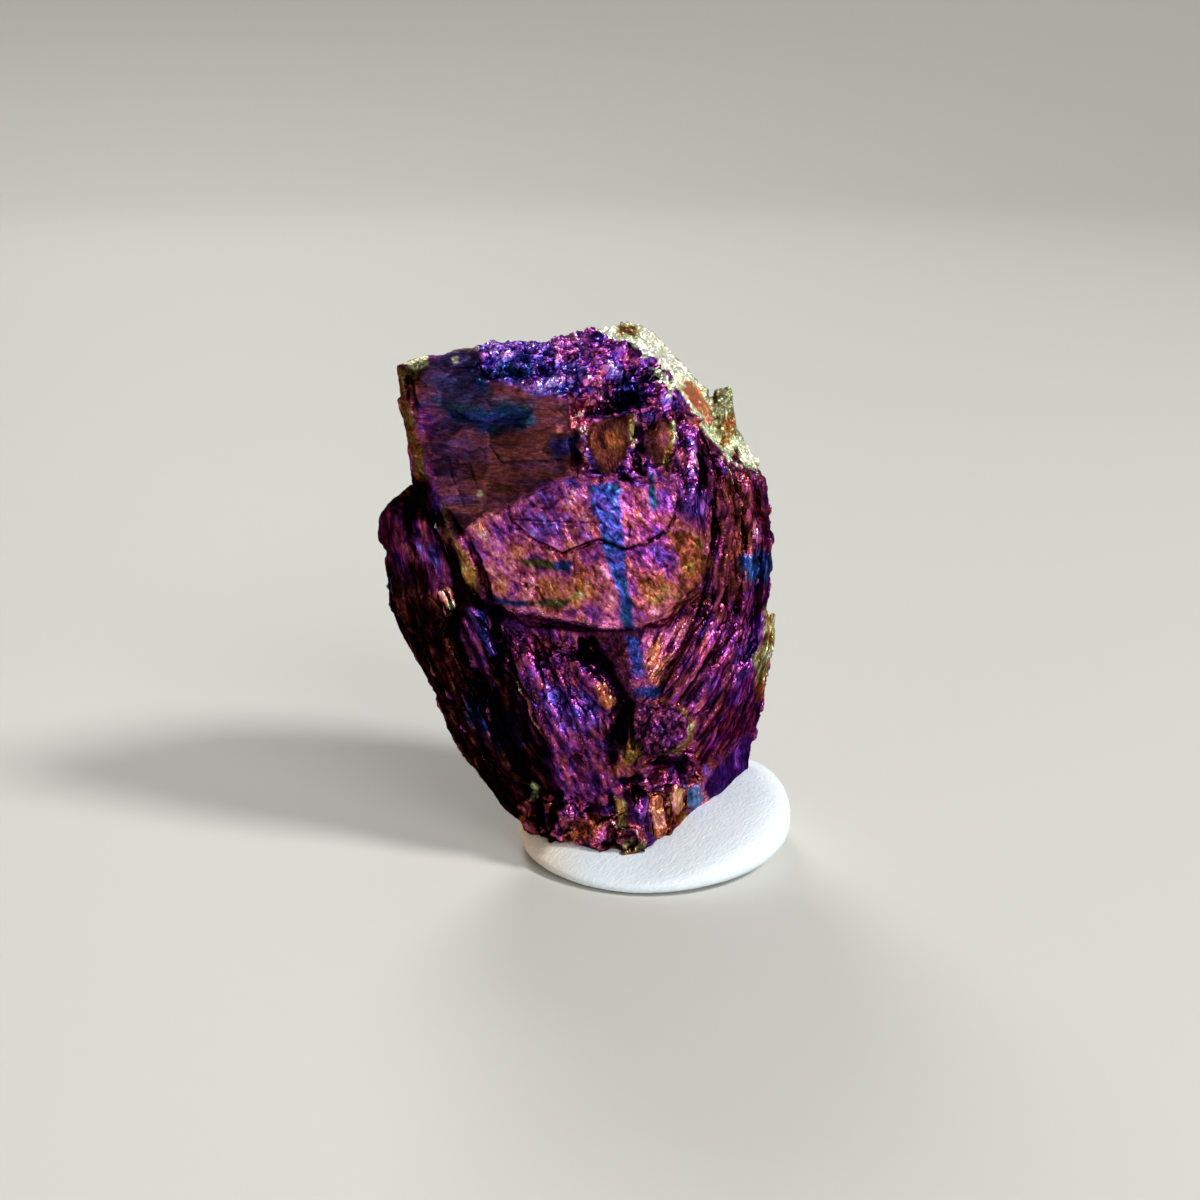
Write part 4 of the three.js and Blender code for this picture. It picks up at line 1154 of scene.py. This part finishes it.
def slab(source, low, high, name):
    # the part of a solid between two heights, closed at the cuts
    work = bmesh.new()
    work.from_mesh(source)
    for height, up in ((low, -1), (high, 1)):
        if height is None:
            continue
        everything = work.verts[:] + work.edges[:] + work.faces[:]
        cut = {"plane_co": (0, 0, height), "plane_no": (0, 0, up), "clear_outer": True}
        bmesh.ops.bisect_plane(work, geom=everything, **cut)
        rim = [e for e in work.edges if len(e.link_faces) == 1]
        bmesh.ops.holes_fill(work, edges=rim, sides=0)
    bmesh.ops.triangulate(work, faces=[f for f in work.faces if len(f.verts) > 3])
    dropCrumbs(work)
    mesh = bpy.data.meshes.new(name)
    work.to_mesh(mesh)
    work.free()
    return mesh


def shadeEven(part, low, high):
    # even areas are shaded smooth, with the slopes of the whole skin where it was cut
    even = np.empty(len(part.vertices))
    part.attributes["even"].data.foreach_get("value", even)
    slopes = np.empty(len(part.vertices) * 3)
    part.attributes["slope"].data.foreach_get("vector", slopes)
    corners = np.empty(len(part.loops), dtype=int)
    part.loops.foreach_get("vertex_index", corners)
    triangles = corners.reshape(-1, 3)
    rises = readMesh(part)[0][triangles, 2]
    cap = np.zeros(len(triangles), dtype=bool)
    for height in (low, high):
        if height is not None:
            cap |= (np.abs(rises - height) < stone["capSlack"]).all(axis=1)
    smooth = (even[triangles].mean(axis=1) > 0.5) & ~cap
    part.polygons.foreach_set("use_smooth", smooth)
    part.normals_split_custom_set(slopes.reshape(-1, 3)[corners] * np.repeat(smooth, 3)[:, None])
    for name in ("even", "slope"):
        part.attributes.remove(part.attributes[name])


def makeOre(material):
    mesh = oreSkin()
    points, normals = readMesh(mesh)
    print("ore: skin of", len(points), "points")
    skin = Skin(points, normals)
    height, fine = reliefOf(skin)
    colour, dull = tarnishOf(skin, height, fine)
    print("ore: relief and film laid")
    writePlaces(mesh, points + normals * height[:, None])
    addAttribute(mesh, "dull", dull)
    addAttribute(mesh, "even", skin.total(*stone["evenAreas"]))
    addAttribute(mesh, "grain", skin.places["grain"])
    addPaint(mesh, colour)
    mesh = applied(mesh, "TRIANGULATE")
    addAttribute(mesh, "slope", readMesh(mesh)[1])
    mesh.materials.clear()
    mesh.materials.append(material)
    cuts = (None, *stone["cuts"], None)
    for name, low, high in zip(stone["names"], cuts[:-1], cuts[1:]):
        part = slab(mesh, low, high, name)
        part.materials.append(material)
        shadeEven(part, low, high)
        addPiece(name, part, "ore")
        print("ore:", name, len(part.polygons), "triangles")


pad = {
    "middle": (5.05, -1.2),  # mm, seen from above
    "radius": 10.5,
    "frontHeight": 1.88,
    "settle": 0.3,  # mm pressed flat underneath
    "rise": (0.2, 0.15),  # how fast it thickens, along X and along Y
    "thinFrom": (3, -7.7),
    "ease": 2,
    "fullness": (0.55, 0.75),  # outward and upward: less is fuller
    "half": 0.55,  # half its height, as a share of how thick it is drawn
    "around": 260,
    "upDown": 130,
    "thumbing": (0.12, 5.0, 101),  # mm, size in mm, seed
    "thumbedFrom": (0.3, 1.5),  # mm up
    "strokeSlant": ((0.5, -0.35, 0.8), (0.6, 0.8, 0), (-1.6, 1.2, 1.4)),  # faint strokes fall to the left
    "strokes": ((0.02, 0.9, 103), (0.012, 0.4, 104)),
    "pores": (0.008, 0.25, 105),
    "skinFrom": (0.02, 0.3),  # mm up, from the smooth underside to the worked sides
    "colour": (221, 230, 236),
    # painted shade: the left end, away from the light, goes warm beige
    "warmShadeEnd": (235, 211, 180),
    "warmShadeSpan": (0.5, -5.5),  # mm along X
    "speck": (60, 70, 92),
    "specks": (1.6, 107),  # mm apart, seed
    "speckEdge": (0.13, 0.07),  # mm from a speck's middle, where it ends and where it is full
    "unspecked": 0.75,  # share of the places without a speck
    "speckShare": 0.6,  # how strong a speck is
    "roughness": 0.7,
    "grain": 3.0,  # per mm
    "grainDepth": 0.00008,  # m
}


def padPlaces(ball):
    # the points of a ball spread into a flat round that is thicker to the right and at the back
    x, y, z = ball.T
    outward, upward = pad["fullness"]
    reach = np.maximum(np.hypot(x, y), 1e-6)  # never nought
    spread = pad["radius"] * reach**outward / reach
    x = pad["middle"][0] + spread * x
    y = pad["middle"][1] + spread * y
    pastX, pastY = x - pad["thinFrom"][0], y - pad["thinFrom"][1]
    riseX, riseY = pad["rise"]
    thick = pad["frontHeight"] + 0.5 * riseX * (pastX + np.hypot(pastX, pad["ease"])) + riseY * pastY
    up = np.sign(z) * np.abs(z) ** upward
    places = np.stack([x, y, np.maximum(0, pad["half"] * thick * (1 + up) - pad["settle"])], axis=1)
    places[:, 2] += smoothStep(*pad["thumbedFrom"], places[:, 2]) * waves(swell, places, pad["thumbing"])
    return places


def padColours(places, above):
    # painted shade: warm beige towards the left end
    warm = smoothStep(*pad["warmShadeSpan"], places[:, 0])[:, None]
    base = np.array(displayColour(pad["colour"]))
    colour = base + warm * (np.array(displayColour(pad["warmShadeEnd"])) - base)
    middle, trait, _ = grains(places, *pad["specks"])
    speck = smoothStep(*pad["speckEdge"], np.linalg.norm(places - middle, axis=1))
    speck *= (trait[:, 0] > pad["unspecked"]) * above
    return colour + pad["speckShare"] * speck[:, None] * (np.array(displayColour(pad["speck"])) - colour)


def puttyMaterial():
    material, tree, shader = newMaterial("putty")
    tree.links.new(readAttribute(tree, "paint", "Color"), shader.inputs["Base Color"])
    shader.inputs["Roughness"].default_value = pad["roughness"]
    addGrain(tree, shader, readAttribute(tree, "grain", "Vector"), pad["grain"], pad["grainDepth"])
    return material


def makePutty():
    ball = bmesh.new()
    bmesh.ops.create_uvsphere(ball, u_segments=pad["around"], v_segments=pad["upDown"], radius=1)
    mesh = bpy.data.meshes.new("puttyPad")
    ball.to_mesh(mesh)
    ball.free()
    places = padPlaces(readMesh(mesh)[0])
    writePlaces(mesh, places)
    _, normals = readMesh(mesh)
    slanted = places @ np.array(pad["strokeSlant"]).T
    height = waves(swell, places, pad["pores"])
    height += sum(waves(swell, slanted, setting) for setting in pad["strokes"])
    above = smoothStep(*pad["skinFrom"], places[:, 2])
    writePlaces(mesh, places + normals * (height * above)[:, None])
    addPaint(mesh, padColours(places, above))
    addAttribute(mesh, "grain", slanted)
    mesh.materials.append(puttyMaterial())
    mesh.shade_smooth()
    print("putty:", len(mesh.polygons), "faces")
    addPiece("puttyPad", mesh, "putty")


studio = {
    "aim": (0, 0, 22),  # mm
    # place in mm, size in mm, power in watts
    "lights": {
        "key": ((450, -225, 500), 150, 4.0),
        "front": ((325, -625, 325), 500, 2.6),
        "fill": ((-475, -425, 150), 400, 0.19),
        "rim": ((-150, 550, 425), 250, 1.6),
    },
    "sky": (205, 207, 200),
    "skyPower": 0.22,
    "floor": (206, 205, 199),
    "floorRoughness": 0.6,
    "floorRadius": 0.55,  # m
    "bend": 0.35,
    "bendSteps": 16,
    "wall": 0.5,
    "around": 96,
}


def addLight(name, place, size, power):
    data = bpy.data.lights.new(name, "AREA")
    data.shape = "DISK"
    data.size = size * metre
    data.energy = power
    light = bpy.data.objects.new(name, data)
    light.location = [c * metre for c in place]
    light.rotation_euler = (Vector(studio["aim"]) - Vector(place)).to_track_quat("-Z", "Y").to_euler()
    bpy.context.collection.objects.link(light)


def addBackdrop():
    # a round floor that sweeps up into a wall
    radius, bend, around = studio["floorRadius"], studio["bend"], studio["around"]
    turns = np.linspace(0, math.pi / 2, studio["bendSteps"])
    profile = [(radius + bend * math.sin(a), bend - bend * math.cos(a)) for a in turns]
    profile.append((radius + bend, studio["wall"]))
    angles = [2 * math.pi * i / around for i in range(around)]
    work = bmesh.new()
    rings = []
    for reach, height in profile:
        rings.append([work.verts.new((reach * math.cos(a), reach * math.sin(a), height)) for a in angles])
    work.faces.new(rings[0])
    for inner, outer in zip(rings[:-1], rings[1:]):
        for i in range(around):
            onward = (i + 1) % around
            work.faces.new((inner[i], outer[i], outer[onward], inner[onward]))
    bmesh.ops.recalc_face_normals(work, faces=work.faces)
    mesh = bpy.data.meshes.new("backdrop")
    work.to_mesh(mesh)
    work.free()
    mesh.shade_smooth()
    material, _, shader = newMaterial("backdrop")
    shader.inputs["Base Color"].default_value = (*displayColour(studio["floor"]), 1)
    shader.inputs["Roughness"].default_value = studio["floorRoughness"]
    mesh.materials.append(material)
    backdrop = bpy.data.objects.new("backdrop", mesh)
    bpy.context.collection.objects.link(backdrop)


def addStudio():
    for name, (place, size, power) in studio["lights"].items():
        addLight(name, place, size, power)
    world = bpy.data.worlds.new("studio")
    world.use_nodes = True
    background = world.node_tree.nodes["Background"]
    background.inputs["Color"].default_value = (*displayColour(studio["sky"]), 1)
    background.inputs["Strength"].default_value = studio["skyPower"]
    bpy.context.scene.world = world
    bpy.context.scene.view_settings.view_transform = "Standard"
    addBackdrop()
    print("studio: lights, sky and backdrop")


addCamera()
addStudio()
makeOre(tarnishMaterial())
makePutty()
